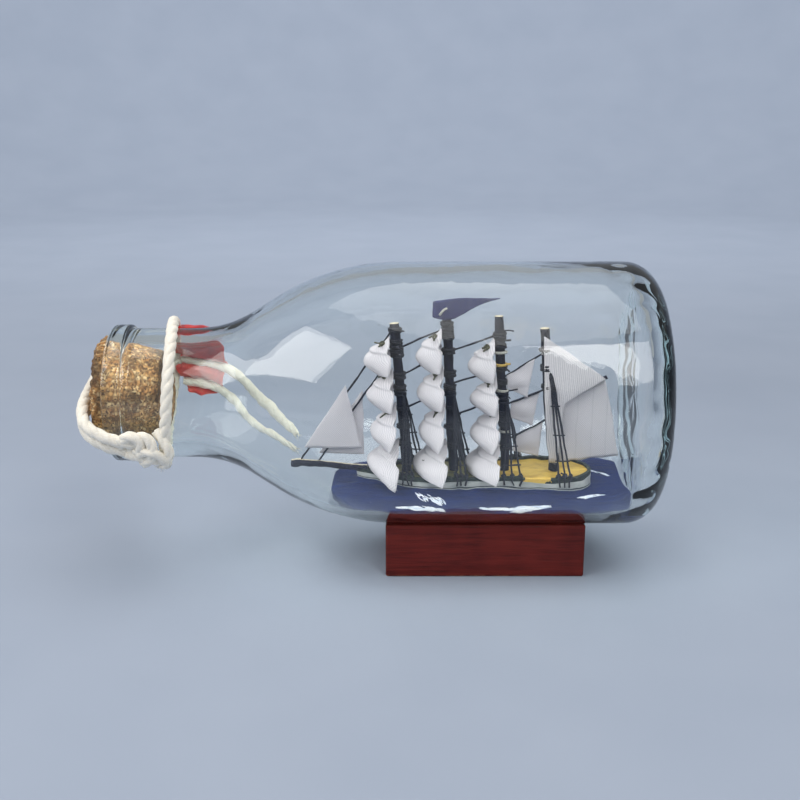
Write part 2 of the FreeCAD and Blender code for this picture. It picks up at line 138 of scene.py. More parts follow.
def mast_x(name, height):
    """x of a mast's centre line at a height above the bottle's axis."""
    foot, head, head_height = MASTS[name]
    foot_height = DECK_TOP - AXIS_Z
    return foot + (head - foot) * (height - foot_height) / (head_height - foot_height)


def polar(x, radius, angle):
    """A point at a radius and angle about the bottle's axis."""
    return rel(x, radius * math.cos(angle), radius * math.sin(angle))


def clamped(share):
    return min(1.0, max(0.0, share))


# ---- camera ----
CAMERA_LENS = 50.0
CAMERA_DISTANCE = 250.0
CAMERA_X = -19.0
CAMERA_RISE = math.radians(16.0)
CAMERA_DIP = math.radians(16.39)

camera = bpy.data.objects.new("camera", bpy.data.cameras.new("camera"))
camera.data.lens = CAMERA_LENS
camera.data.clip_start = 0.01
camera.location = rel(CAMERA_X, -CAMERA_DISTANCE * math.cos(CAMERA_RISE),
                      CAMERA_DISTANCE * math.sin(CAMERA_RISE)) * MM
camera.rotation_euler = (QUARTER - CAMERA_DIP, 0, 0)
SCENE.collection.objects.link(camera)
SCENE.camera = camera


def curve_points(route, resolution=24):
    """Points in metres along the smooth NURBS line whose control points are the route's."""
    curve = bpy.data.curves.new("route", "CURVE")
    curve.dimensions = "3D"
    curve.resolution_u = resolution
    spline = curve.splines.new("NURBS")
    spline.points.add(len(route) - 1)
    for point, place in zip(spline.points, route):
        point.co = (*(rel(*place) * MM), 1)
    spline.order_u = 3
    spline.use_endpoint_u = True
    carrier = bpy.data.objects.new("route", curve)
    mesh = bpy.data.meshes.new_from_object(carrier)
    points = [v.co.copy() for v in mesh.vertices]
    bpy.data.objects.remove(carrier)
    bpy.data.curves.remove(curve)
    bpy.data.meshes.remove(mesh)
    return points


# ---- mesh helpers ----
SAME_POINT = 1e-7


def grid_faces(rows, columns, close_columns=False, first=0):
    """Quads over a grid of points that is stored row by row."""
    faces = []
    for i in range(rows - 1):
        for j in range(columns if close_columns else columns - 1):
            a, b = i * columns, (i + 1) * columns
            k = (j + 1) % columns
            faces.append((first + a + j, first + a + k, first + b + k, first + b + j))
    return faces


def add_piece(name, shell, slot, material=None, body="bottle", stands_for=(), scale=MM,
              threads=None):
    """A smooth-shaded piece from points and faces. It rides on a body, and the nodes it
    stands for are hidden. threads gives each point's place on the weave of a cloth."""
    points, faces = shell
    mesh = bpy.data.meshes.new(name)
    mesh.from_pydata([Vector(p) * scale for p in points], [], faces)
    mesh.materials.append(material or MATERIALS[slot])
    if threads:
        layer = mesh.uv_layers.new(name="threads")
        for place, corner in zip(layer.data, mesh.loops):
            place.uv = threads[corner.vertex_index]
    cleaned = bmesh.new()
    cleaned.from_mesh(mesh)
    bmesh.ops.remove_doubles(cleaned, verts=cleaned.verts, dist=SAME_POINT)
    bmesh.ops.recalc_face_normals(cleaned, faces=cleaned.faces)
    cleaned.to_mesh(mesh)
    cleaned.free()
    mesh.shade_smooth()
    piece = bpy.data.objects.new(name, mesh)
    SCENE.collection.objects.link(piece)
    if body:
        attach(piece, body)
    if stands_for:
        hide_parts(*stands_for)
    return piece


def lathe(profile, sides, push):
    """Points and faces of (x, radius) points turned about the bottle's axis. The first
    and last points lie on the axis. push gives a shift along the outline's normal."""
    points = [rel(profile[0][0], 0, 0)]
    for i, (x, r) in enumerate(profile[1:-1], start=1):
        before, after = profile[i - 1], profile[i + 1]
        along = Vector((after[0] - before[0], after[1] - before[1])).normalized()
        for j in range(sides):
            angle = math.tau * j / sides
            shift = push(i, x, r, angle)
            points.append(polar(x + along.y * shift, r - along.x * shift, angle))
    points.append(rel(profile[-1][0], 0, 0))
    faces = grid_faces(len(profile) - 2, sides, close_columns=True, first=1)
    end = len(points) - 1
    for j in range(sides):
        k = (j + 1) % sides
        faces.append((0, 1 + k, 1 + j))
        faces.append((end, end - sides + j, end - sides + k))
    return points, faces


def even_steps(outline, step):
    """Points at even spacing along a polyline, with both of its ends kept."""
    result = [Vector(outline[0])]
    for a, b in zip(outline, outline[1:]):
        a, b = Vector(a), Vector(b)
        count = max(1, round((b - a).length / step))
        result += [a.lerp(b, (i + 1) / count) for i in range(count)]
    return result


def crossings(points):
    """Two directions square to a line and to each other, at each of its points."""
    side = (points[1] - points[0]).orthogonal().normalized()
    for i in range(len(points)):
        along = (points[min(i + 1, len(points) - 1)] - points[max(i - 1, 0)]).normalized()
        side = (side - along * side.dot(along)).normalized()
        yield side, along.cross(side)


def tube(points, radii, sides):
    """Points and faces of a closed round tube with a radius at each point."""
    result = []
    for point, r, (side, up) in zip(points, radii, crossings(points)):
        for j in range(sides):
            angle = math.tau * j / sides
            result.append(point + (side * math.cos(angle) + up * math.sin(angle)) * r)
    faces = grid_faces(len(points), sides, close_columns=True)
    faces.append(tuple(range(sides))[::-1])
    faces.append(tuple(range(len(result) - sides, len(result))))
    return result, faces


def join(pieces):
    """Several (points, faces) shells as one."""
    points, faces = [], []
    for more_points, more_faces in pieces:
        start = len(points)
        points += more_points
        faces += [tuple(start + i for i in face) for face in more_faces]
    return points, faces


STRANDS = 3
STRAND_PITCH = 8.5
STRAND_OFFSET = 0.32
STRAND_THICKNESS = 0.73
FIBRE_SPACING = 0.9
FIBRE_RADII = (0.045, 0.045, 0.035, 0.02)


def twisted(points, radius, fray=0.0, seed=0):
    """Closed strands twisted round a line of points in metres, as in cotton string.
    fray is the length at the far end over which the strands come apart."""
    rng = random.Random(seed)
    lengths = [0.0]
    for a, b in zip(points, points[1:]):
        lengths.append(lengths[-1] + (b - a).length / MM)
    total = lengths[-1]
    shells = []
    for k in range(STRANDS):
        line, radii = [], []
        for point, length, (side, up) in zip(points, lengths, crossings(points)):
            loose = max(0.0, (length - total + fray) / fray) if fray else 0.0
            wander = noise.noise(Vector((length * 0.23, k * 7.0, seed)))
            angle = math.tau * (length / STRAND_PITCH + k / STRANDS) + 0.5 * wander
            out = radius * STRAND_OFFSET * (1 + 0.12 * wander + 0.7 * loose)
            line.append(point + (side * math.cos(angle) + up * math.sin(angle)) * out * MM)
            swell = 1 + 0.08 * noise.noise(Vector((length * 0.9, k * 3.0, seed + 9)))
            radii.append(radius * STRAND_THICKNESS * swell * (1 - 0.55 * loose) * MM)
        shells.append(tube(line, radii, 10))
        if fray:
            shells += fibres(line[-1], line[-1] - line[-5], 7, 1.8, rng)
    for _ in range(int(total / FIBRE_SPACING)):
        place = points[rng.randrange(4, len(points) - 4)]
        shells += fibres(place, random_direction(rng), 1, radius * 1.55, rng)
    return join(shells)


def random_direction(rng):
    return Vector([rng.gauss(0, 1) for _ in range(3)]).normalized()


def fibres(start, along, count, length, rng):
    """Fine loose fibres that leave a point in metres, roughly one way."""
    shells = []
    radii = [r * MM for r in FIBRE_RADII]
    for _ in range(count):
        heading = (along.normalized() + 0.55 * random_direction(rng)).normalized()
        bend = random_direction(rng) * 0.35
        reach = length * rng.uniform(0.5, 1.0) * MM
        line = [start + heading * reach * t + bend * reach * t * t for t in (0, 0.33, 0.66, 1)]
        shells.append(tube(line, radii, 4))
    return shells


# ---- materials ----
class Paint:
    """A material whose colour, roughness and bump come from nodes added one by one."""

    def __init__(self, name, **values):
        self.material = bpy.data.materials.new(name)
        self.material.use_nodes = True
        self.tree = self.material.node_tree
        self.shader = self.tree.nodes["Principled BSDF"]
        for socket, value in values.items():
            self.shader.inputs[socket.replace("_", " ")].default_value = value

    def add(self, kind, inputs=None, **settings):
        node = self.tree.nodes.new("ShaderNode" + kind)
        for key, value in settings.items():
            setattr(node, key, value)
        for key, value in (inputs or {}).items():
            self.connect(node.inputs[key], value)
        return node

    def place(self, scale=(1, 1, 1), turn=(0, 0, 0), cloth=False):
        """Position in millimetres: in the model, or along the cloth's threads."""
        source = (self.add("UVMap", uv_map="threads").outputs["UV"] if cloth
                  else self.add("TexCoord").outputs["Object"])
        factor = 1.0 if cloth else 1 / MM
        return self.add("Mapping", {"Vector": source, "Rotation": turn,
                                    "Scale": [factor * s for s in scale]}).outputs[0]

    def along(self, axis):
        """The position along one of the model's axes, in millimetres."""
        return self.add("SeparateXYZ", {0: self.place()}).outputs[axis]

    def noise(self, size, detail=3.0, rough=0.55, stretch=(1, 1, 1), warp=0.0):
        place = self.place(stretch)
        return self.add("TexNoise", {"Vector": place, "Scale": 1 / size, "Detail": detail,
                                     "Roughness": rough, "Distortion": warp}).outputs[0]

    def ramp(self, value, *stops):
        node = self.add("ValToRGB", {"Fac": value})
        elements = node.color_ramp.elements
        while len(elements) < len(stops):
            elements.new(1.0)
        for element, (position, colour) in zip(elements, stops):
            element.position = position
            element.color = (*colour, 1) if hasattr(colour, "__len__") else (colour,) * 3 + (1,)
        return node.outputs["Color"]

    def connect(self, socket, value):
        if isinstance(value, bpy.types.NodeSocket):
            self.tree.links.new(value, socket)
        else:
            socket.default_value = value

    def mix(self, share, a, b):
        node = self.add("Mix", data_type="RGBA")
        self.connect(node.inputs[0], share)
        for index, colour in ((6, a), (7, b)):
            given = isinstance(colour, bpy.types.NodeSocket)
            self.connect(node.inputs[index], colour if given else (*colour, 1))
        return node.outputs[2]

    def patches(self, under, over, size, detail, start, end, most):
        """Lays a colour over another in soft patches that cover it up to a share."""
        cover = self.ramp(self.noise(size, detail), (start, 0.0), (end, most))
        return self.mix(cover, under, over)

    def math(self, operation, a, b=0.0):
        node = self.add("Math", operation=operation)
        self.connect(node.inputs[0], a)
        self.connect(node.inputs[1], b)
        return node.outputs[0]

    def finish(self, colour, roughness=None, height=None, depth=0.1):
        """Links the results; depth is how far in millimetres the bump's white stands."""
        links = self.tree.links
        links.new(colour, self.shader.inputs["Base Color"])
        if roughness is not None:
            links.new(roughness, self.shader.inputs["Roughness"])
        if height is not None:
            bump = self.add("Bump", {"Height": height, "Strength": 1.0,
                                     "Distance": depth * MM})
            links.new(bump.outputs[0], self.shader.inputs["Normal"])
        return self.material


def glass_material():
    """Clear glass with a green cast that lets the lamps' light through to the ship."""
    paint = Paint("bottle_glass", Roughness=0.0, IOR=1.48, Specular_IOR_Level=0.12,
                  Transmission_Weight=1.0)
    faint = paint.noise(9.0, detail=2.0)
    tint = paint.ramp(faint, (0.3, (0.985, 0.995, 0.99)), (0.7, (0.995, 1.0, 1.0)))
    paint.finish(tint, height=paint.noise(5.0, detail=1.0), depth=0.05)
    clear = paint.add("BsdfTransparent", {"Color": (0.985, 0.99, 0.99, 1)})
    shadow = paint.add("LightPath").outputs["Is Shadow Ray"]
    both = paint.add("MixShader", {0: shadow, 1: paint.shader.outputs[0],
                                   2: clear.outputs[0]})
    body = paint.add("VolumeAbsorption", {"Color": (0.45, 0.90, 0.82, 1), "Density": 14.0})
    out = paint.tree.nodes["Material Output"]
    paint.tree.links.new(both.outputs[0], out.inputs["Surface"])
    paint.tree.links.new(body.outputs[0], out.inputs["Volume"])
    return paint.material


def cork_material():
    """Pressed cork: grains of several browns with dark gaps and darker, stained patches."""
    paint = Paint("cork", Roughness=0.85)
    warped = paint.add("VectorMath", {0: paint.place(), 1: paint.add("TexNoise", {
        "Vector": paint.place(), "Scale": 0.8, "Detail": 2.0}).outputs["Color"]},
        operation="ADD").outputs[0]
    cells = paint.add("TexVoronoi", {"Vector": warped, "Scale": 1.35})
    fine = paint.add("TexVoronoi", {"Vector": warped, "Scale": 3.2})
    tone = paint.add("SeparateColor", {"Color": cells.outputs["Color"]}).outputs[0]
    speck = paint.add("SeparateColor", {"Color": fine.outputs["Color"]}).outputs[1]
    grain = paint.ramp(tone, (0.0, (0.38, 0.18, 0.065)), (0.3, (0.62, 0.33, 0.12)),
                       (0.65, (0.76, 0.46, 0.19)), (1.0, (0.90, 0.66, 0.36)))
    grain = paint.mix(paint.ramp(speck, (0.72, 0.0), (0.86, 1.0)), grain, (0.16, 0.085, 0.04))
    gap = paint.ramp(cells.outputs["Distance"], (0.35, 0.0), (0.62, 0.6))
    grain = paint.mix(gap, grain, (0.12, 0.06, 0.03))
    colour = paint.patches(grain, (0.085, 0.055, 0.035), 6.5, 4.0, 0.47, 0.62, 0.75)
    height = paint.math("SUBTRACT", paint.noise(0.5, detail=4.0), cells.outputs["Distance"])
    return paint.finish(colour, height=height, depth=0.25)


def string_material():
    """Cream cotton with fine fibres and faint grey soiling in the twist."""
    paint = Paint("string", Roughness=0.9, Sheen_Weight=0.25, Sheen_Roughness=0.6)
    thread = paint.noise(0.25, detail=4.0, stretch=(0.45, 1.0, 1.0))
    colour = paint.ramp(thread, (0.25, (0.82, 0.75, 0.62)), (0.5, (0.93, 0.88, 0.77)),
                        (0.8, (0.97, 0.94, 0.86)))
    colour = paint.patches(colour, (0.74, 0.69, 0.60), 3.5, 3.0, 0.5, 0.75, 0.35)
    return paint.finish(colour, height=thread, depth=0.12)


def wax_material():
    """Red sealing wax: glossy where it ran thick, dull and darker where it is thin."""
    paint = Paint("sealing_wax", Coat_Weight=0.25, Coat_Roughness=0.2, Subsurface_Weight=0.5,
                  Subsurface_Radius=(0.002, 0.0006, 0.0004), Subsurface_Scale=1.0)
    flow = paint.noise(2.6, detail=4.0, warp=0.6)
    colour = paint.ramp(flow, (0.3, (0.36, 0.010, 0.012)), (0.55, (0.66, 0.030, 0.026)),
                        (0.8, (0.80, 0.10, 0.08)))
    rough = paint.ramp(flow, (0.3, 0.32), (0.8, 0.55))
    return paint.finish(colour, rough, height=flow, depth=0.35)


def wood_material():
    """Dark red stained wood with its grain along the stand, rubbed lighter on the edges."""
    low = box_mm("stand_block")[0]
    paint = Paint("stand_wood", Specular_IOR_Level=0.2)
    grain = paint.noise(1.1, detail=6.0, rough=0.65, stretch=(0.07, 1.0, 1.0), warp=0.7)
    pores = paint.noise(0.35, stretch=(0.05, 1.0, 1.0))
    colour = paint.ramp(grain, (0.25, (0.040, 0.005, 0.004)), (0.5, (0.105, 0.011, 0.009)),
                        (0.75, (0.165, 0.020, 0.014)))
    colour = paint.mix(paint.ramp(pores, (0.30, 0.6), (0.42, 0.0)), colour, (0.03, 0.008, 0.006))
    rubbed = paint.math("LESS_THAN", paint.along(2), low.z + 0.45)
    worn = paint.ramp(paint.noise(2.2, detail=4.0), (0.42, 0.0), (0.62, 0.75))
    colour = paint.mix(paint.math("MULTIPLY", rubbed, worn), colour, (0.36, 0.13, 0.07))
    colour = paint.patches(colour, (0.20, 0.022, 0.015), 9.0, 2.0, 0.35, 0.7, 0.45)
    rough = paint.ramp(grain, (0.2, 0.38), (0.8, 0.6))
    return paint.finish(colour, rough, height=paint.math("ADD", grain, pores), depth=0.06)


def sea_material():
    """Navy paint over putty, brushed along the bottle, a little lighter where it is thin."""
    paint = Paint("sea_paint", Specular_IOR_Level=0.15)
    brush = paint.noise(1.0, detail=5.0, stretch=(0.13, 1.0, 1.0), warp=0.5)
    colour = paint.ramp(brush, (0.25, (0.002, 0.006, 0.040)), (0.55, (0.003, 0.011, 0.080)),
                        (0.85, (0.007, 0.026, 0.140)))
    colour = paint.patches(colour, (0.004, 0.020, 0.120), 7.0, 3.0, 0.4, 0.75, 0.5)
    rough = paint.ramp(brush, (0.2, 0.5), (0.8, 0.7))
    return paint.finish(colour, rough, height=brush, depth=0.3)


def foam_material():
    """White brushed paint that lets a little of the navy through."""
    paint = Paint("sea_foam", Roughness=0.55)
    brush = paint.noise(0.5, detail=4.0, stretch=(0.2, 1.0, 1.0))
    colour = paint.ramp(brush, (0.3, (0.42, 0.52, 0.72)), (0.55, (0.80, 0.84, 0.90)),
                        (0.8, (0.92, 0.93, 0.95)))
    return paint.finish(colour, height=brush, depth=0.1)


def hull_material():
    """Grey-white paint with a thin dark line above the water and dirt along the rail."""
    paint = Paint("hull_paint", Roughness=0.5)
    wobble = paint.math("MULTIPLY", paint.math("SUBTRACT", paint.noise(2.5), 0.5), 0.25)
    level = paint.math("SUBTRACT", paint.math("ADD", paint.along(2), wobble), SEA_LEVEL)
    white = paint.ramp(paint.noise(1.6, detail=4.0, stretch=(0.3, 1, 1)),
                       (0.3, (0.30, 0.33, 0.33)), (0.7, (0.62, 0.64, 0.62)))
    line = paint.math("LESS_THAN", paint.math("ABSOLUTE", paint.math("SUBTRACT", level, 0.62)),
                      0.12)
    colour = paint.mix(line, white, (0.02, 0.03, 0.035))
    wet = paint.math("LESS_THAN", level, 0.28)
    colour = paint.mix(wet, colour, (0.010, 0.028, 0.14))
    return paint.finish(colour, height=paint.noise(0.8), depth=0.06)


def deck_material():
    """Ochre paint, dark olive over the deck's forward part and bright further aft."""
    paint = Paint("deck_paint", Roughness=0.45)
    brush = paint.noise(1.3, detail=4.0, stretch=(0.4, 1.0, 1.0))
    yellow = paint.ramp(brush, (0.25, (0.42, 0.25, 0.035)), (0.5, (0.62, 0.41, 0.06)),
                        (0.8, (0.74, 0.54, 0.12)))
    olive = paint.ramp(brush, (0.25, (0.055, 0.065, 0.03)), (0.6, (0.21, 0.19, 0.05)),
                       (0.85, (0.46, 0.36, 0.08)))
    wander = paint.math("MULTIPLY", paint.noise(3.0), 7.0)
    ragged = paint.math("ADD", paint.along(0), wander)
    span = paint.add("MapRange", {"Value": ragged, "From Min": 5.0, "From Max": 8.5})
    colour = paint.mix(span.outputs[0], olive, yellow)
    return paint.finish(colour, height=brush, depth=0.08)


def rail_material():
    """Black-green paint with chips, and ochre slopped over it near the jigger mast."""
    paint = Paint("rail_paint", Roughness=0.5, Specular_IOR_Level=0.2)
    chips = paint.noise(0.9, detail=5.0)
    colour = paint.ramp(chips, (0.35, (0.010, 0.017, 0.016)), (0.6, (0.028, 0.045, 0.038)),
                        (0.74, (0.16, 0.18, 0.14)))
    ragged = paint.math("ADD", paint.math("MULTIPLY", paint.noise(2.2, detail=4.0), 9.0),
                        paint.math("ABSOLUTE", paint.math("SUBTRACT", paint.along(0), 12.5)))
    near_side = paint.math("LESS_THAN", paint.along(1), SHIP_Y)
    slop = paint.math("MULTIPLY", near_side, paint.math("LESS_THAN", ragged, 7.2))
    colour = paint.mix(slop, colour, (0.72, 0.48, 0.10))
    return paint.finish(colour, height=chips, depth=0.08)


def spar_material():
    """Navy-black paint on dowels, with bare wood where the ends were cut."""
    paint = Paint("spar_paint", Roughness=0.6, Specular_IOR_Level=0.15)
    streak = paint.noise(0.9, detail=5.0, stretch=(1.0, 1.0, 0.25))
    dark = paint.ramp(streak, (0.3, (0.003, 0.004, 0.012)), (0.6, (0.008, 0.010, 0.028)),
                      (0.82, (0.030, 0.034, 0.060)))
    up = paint.add("SeparateXYZ", {0: paint.add("TexCoord").outputs["Normal"]}).outputs[2]
    worn = paint.math("ADD", up, paint.math("MULTIPLY", paint.noise(0.5), 0.12))
    cut = paint.math("GREATER_THAN", worn, 0.99)
    wood = paint.ramp(paint.noise(0.3), (0.3, (0.42, 0.36, 0.26)),
                      (0.7, (0.72, 0.66, 0.52)))
    colour = paint.mix(cut, dark, wood)
    return paint.finish(colour, height=streak, depth=0.08)


def thread_material(name, dark, light):
    """Tarred thread with the turns of its twist."""
    paint = Paint(name, Roughness=0.65, Sheen_Weight=0.05, Specular_IOR_Level=0.2)
    twist = paint.noise(0.22, stretch=(1.0, 1.0, 0.6))
    colour = paint.ramp(twist, (0.35, dark), (0.75, light))
    return paint.finish(colour, height=twist, depth=0.06)


WEAVE_PITCH = 0.42


def cloth_material(name, light, shade, turn=0.0, seams=0.0, diagonal=0.0):
    """Woven cloth whose threads follow the sheet, turned by an angle. seams is the
    spacing of faint dark lines, and diagonal that of a twill's ribs; 0 leaves them out."""
    paint = Paint(name, Roughness=0.9, Specular_IOR_Level=0.15, Subsurface_Weight=0.15,
                  Subsurface_Radius=(0.0012, 0.0012, 0.0012), Subsurface_Scale=0.4)
    place = paint.place(turn=(0, 0, turn), cloth=True)
    parts = paint.add("SeparateXYZ", {0: place})
    waves = []
    for axis in (0, 1):
        uneven = paint.add("TexNoise", {"Vector": place, "Scale": 0.9, "Detail": 2.0}).outputs[0]
        shifted = paint.math("ADD", parts.outputs[axis],
                             paint.math("MULTIPLY", uneven, 0.25))
        angle = paint.math("MULTIPLY", shifted, math.tau / WEAVE_PITCH)
        waves.append(paint.math("SINE", angle))
    over = paint.math("MULTIPLY", *waves)
    weave = paint.math("ADD", paint.math("MULTIPLY", over, 0.5), 0.5)
    if diagonal:
        both = paint.math("ADD", parts.outputs[0], parts.outputs[1])
        twill = paint.math("SINE", paint.math("MULTIPLY", both, math.tau / diagonal))
        weave = paint.math("ADD", paint.math("MULTIPLY", weave, 0.5),
                           paint.math("MULTIPLY", paint.math("ADD", twill, 1.0), 0.25))
    colour = paint.ramp(weave, (0.1, shade), (0.6, light))
    colour = paint.patches(colour, [0.82 * c for c in light], 3.0, 3.0, 0.45, 0.8, 0.35)
    if seams:
        across = paint.math("SINE", paint.math("MULTIPLY", parts.outputs[0],
                                               math.tau / seams))
        colour = paint.mix(paint.ramp(across, (0.94, 0.0), (1.0, 0.4)), colour,
                           (0.42, 0.42, 0.46))
    return paint.finish(colour, height=weave, depth=0.05)


def floor_material():
    """Pale blue-grey paper, very slightly uneven in tone."""
    paint = Paint("stage_paper", Roughness=0.7)
    colour = paint.ramp(paint.noise(40.0, detail=2.0), (0.3, (0.33, 0.38, 0.47)),
                        (0.7, (0.35, 0.40, 0.49)))
    return paint.finish(colour)


SAIL_LIGHT = (0.66, 0.64, 0.68)
SAIL_SHADE = (0.40, 0.39, 0.45)
# One material for each slot of the model, under the slot's name.
MATERIALS = {
    "bottle_glass": glass_material(),
    "cork": cork_material(),
    "string": string_material(),
    "sealing_wax": wax_material(),
    "stand_wood": wood_material(),
    "sea_paint": sea_material(),
    "hull_paint": hull_material(),
    "deck_paint": deck_material(),
    "rail_paint": rail_material(),
    "spar_paint": spar_material(),
    "rigging_thread": thread_material("rigging_thread", (0.004, 0.005, 0.012),
                                      (0.035, 0.038, 0.055)),
    "sailcloth": cloth_material("sailcloth", SAIL_LIGHT, SAIL_SHADE),
    "flag_cloth": cloth_material("flag_cloth", (0.003, 0.010, 0.115), (0.002, 0.005, 0.05)),
}
SPANKER_CLOTH = cloth_material("sailcloth_seamed", SAIL_LIGHT, SAIL_SHADE, seams=3.4)
TOPSAIL_CLOTH = cloth_material("sailcloth_diagonal", (0.70, 0.68, 0.71), (0.42, 0.41, 0.47),
                               turn=math.radians(38.0), diagonal=0.62)
FOAM = foam_material()
OCHRE_THREAD = thread_material("ochre_thread", (0.40, 0.26, 0.06), (0.70, 0.50, 0.16))
PALE_THREAD = thread_material("pale_thread", (0.30, 0.30, 0.28), (0.62, 0.62, 0.58))
OLIVE_THREAD = thread_material("olive_thread", (0.03, 0.032, 0.02), (0.14, 0.14, 0.09))

# ---- the string's loose tails ----
# Route, length in metres and the seed of the twist.
TAILS = {
    "upper": (UPPER_TAIL_ROUTE, 0.0359, 3),
    "lower": (LOWER_TAIL_ROUTE, 0.0338, 8),
}
for tail, (route, length, seed) in TAILS.items():
    line = curve_points(route)
    piece = add_piece("tail_" + tail, twisted(line, STRING_RADIUS, fray=5.0, seed=seed),
                      "string", stands_for=["string_tail_" + tail], scale=1.0)
    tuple(line[0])

# ---- floor and lamps ----
COVE_FLAT = 700.0
COVE_ROUND = 350.0
COVE_STEPS = 12
COVE_SIDES = 96
cove = [(0.0, 0.0), (COVE_FLAT, 0.0)]
cove += [(COVE_FLAT + COVE_ROUND * math.sin(a), COVE_ROUND * (1 - math.cos(a)))
         for a in [QUARTER * i / COVE_STEPS for i in range(1, COVE_STEPS + 1)]]
cove_turns = [math.tau * j / COVE_SIDES for j in range(COVE_SIDES)]
cove_points = [(r * math.cos(a), r * math.sin(a), z) for r, z in cove for a in cove_turns]
floor_mesh = bpy.data.meshes.new("floor")
floor_mesh.from_pydata([Vector(p) * MM for p in cove_points], [],
                       grid_faces(len(cove), COVE_SIDES, close_columns=True))
floor_mesh.materials.append(floor_material())
floor_mesh.shade_smooth()
floor = bpy.data.objects.new("floor", floor_mesh)
SCENE.collection.objects.link(floor)


def softbox(name, place, aim, width, height, power, colour=(1.0, 1.0, 1.0)):
    """A rectangular lamp, measured in millimetres, that faces a point."""
    light = bpy.data.lights.new(name, "AREA")
    light.shape = "RECTANGLE"
    light.size, light.size_y = width * MM, height * MM
    light.energy = power
    light.color = colour
    lamp = bpy.data.objects.new(name, light)
    lamp.location = Vector(place) * MM
    lamp.rotation_euler = (Vector(aim) - Vector(place)).to_track_quat("-Z", "Y").to_euler()
    SCENE.collection.objects.link(lamp)
    return lamp


CENTRE = rel(-20, 0, 0)
WARM = (1.0, 0.97, 0.93)
# Reflections leave the overhead lamp out, as it would glare along the top of the glass.
overhead = softbox("lamp_top", (60, 60, 700), CENTRE, 800, 560, 2.6, WARM)
overhead.visible_glossy = False
softbox("lamp_left", (-470, -200, 410), CENTRE, 430, 400, 2.1, WARM)
softbox("lamp_right", (190, -410, 400), CENTRE, 170, 330, 0.8, WARM)
# This lamp lights the backdrop alone.
softbox("lamp_back", (0, 400, 500), (0, 1000, 200), 900, 200, 3.0)
world = bpy.data.worlds.new("studio")
world.use_nodes = True
sky = world.node_tree.nodes["Background"].inputs
sky["Color"].default_value = (0.80, 0.85, 0.92, 1)
sky["Strength"].default_value = 0.42
SCENE.world = world
SCENE.view_settings.view_transform = "Standard"

# ---- bottle ----
BOTTLE_SIDES = 256
BOTTLE_STEP = 1.0
MOUTH_ROUND = 0.4
# The skins are true at the neck, and free to stray from here on over a short way.
STRAY_START_X = -66
STRAY_WAY = 12


def arc(centre, radius, start, end, count):
    """Points on an arc; angles in radians from +x towards +radius."""
    angles = [start + (end - start) * i / count for i in range(count + 1)]
    return [(centre[0] + radius * math.cos(a), centre[1] + radius * math.sin(a)) for a in angles]


def skin(neck, body, convex, concave, start_x, end_x, corner):
    """One skin of the bottle as (x, radius), from the neck's end round to the base."""
    slope = SHOULDER_SLOPE
    cone_top = (SHOULDER_END_X - convex * math.sin(slope), body - convex * (1 - math.cos(slope)))
    rise = cone_top[1] - neck - concave * (1 - math.cos(slope))
    cone_low_x = cone_top[0] - rise / math.tan(slope)
    throat_x = cone_low_x - concave * math.sin(slope)
    outline = [(start_x, neck)]
    outline += arc((throat_x, neck + concave), concave, -QUARTER, slope - QUARTER, 12)
    outline += arc((SHOULDER_END_X, body - convex), convex, QUARTER + slope, QUARTER, 20)
    outline += arc((end_x - corner, body - corner), corner, QUARTER, 0, 12)
    return outline


def radius_at(outline, x):
    """Radius of an outline whose x only grows."""
    for (x0, r0), (x1, r1) in zip(outline, outline[1:]):
        if x0 <= x <= x1 and x1 > x0:
            return r0 + (r1 - r0) * (x - x0) / (x1 - x0)
    return outline[0][1] if x < outline[0][0] else outline[-1][1]


OUTER = skin(NECK_RADIUS, BODY_RADIUS, SHOULDER_RADIUS, THROAT_RADIUS,
             MOUTH_X + LIP_LENGTH, BASE_X, BASE_CORNER)
INNER = skin(BORE_RADIUS, BODY_RADIUS - BODY_WALL, SHOULDER_RADIUS - BODY_WALL,
             THROAT_RADIUS + NECK_RADIUS - BORE_RADIUS, MOUTH_X + MOUTH_ROUND,
             BASE_X - BASE_WALL, BASE_CORNER - BODY_WALL)


def punt(r):
    """x of the dished underside of the bottle at a radius."""
    return BASE_X - PUNT_DEPTH * max(0.0, 1 - (r / PUNT_RIM) ** 2)


base_rings = [(punt(r), r) for r in [PUNT_RIM * i / 10 for i in range(11)]]
lip = arc((MOUTH_X + LIP_LENGTH - LIP_ROUND, LIP_RADIUS - LIP_ROUND), LIP_ROUND, 0, QUARTER, 4)
lip += arc((MOUTH_X + LIP_ROUND, LIP_RADIUS - LIP_ROUND), LIP_ROUND, QUARTER, math.pi, 4)
mouth = arc((MOUTH_X + MOUTH_ROUND, BORE_RADIUS + MOUTH_ROUND), MOUTH_ROUND,
            math.pi, 3 * QUARTER, 4)
outer_line = even_steps(base_rings + OUTER[::-1] + lip + mouth, BOTTLE_STEP)
inner_line = even_steps(INNER + [(BASE_X - BASE_WALL, 0)], BOTTLE_STEP)
glass_line = outer_line + inner_line[1:]
FIRST_INNER = len(outer_line)


def stray_field(x, angle, shift, pace, fineness):
    """Smooth noise over a skin of the bottle; shift and pace set how it runs along it."""
    around = Vector((0, math.cos(angle), math.sin(angle)))
    return noise.noise(Vector((shift + x * pace, 0, 0)) + fineness * around)


def inner_stray(x, r, angle):
    """How far the inner skin strays inwards: soft waves, and streaks round the base."""
    wave = 0.14 * clamped((x - STRAY_START_X) / STRAY_WAY)
    wave *= 1 + stray_field(x, angle, 0, 0.07, 2.2)
    near_base = clamped((x - 25) / 7) * clamped((r - 13) / 8)
    streak = 1 + stray_field(x, angle, r * 0.08, 0.10, 7)
    ripple = 1 + stray_field(x, angle, 40, 0.35, 2.5)
    return wave + near_base * (0.28 * streak + 0.16 * ripple)


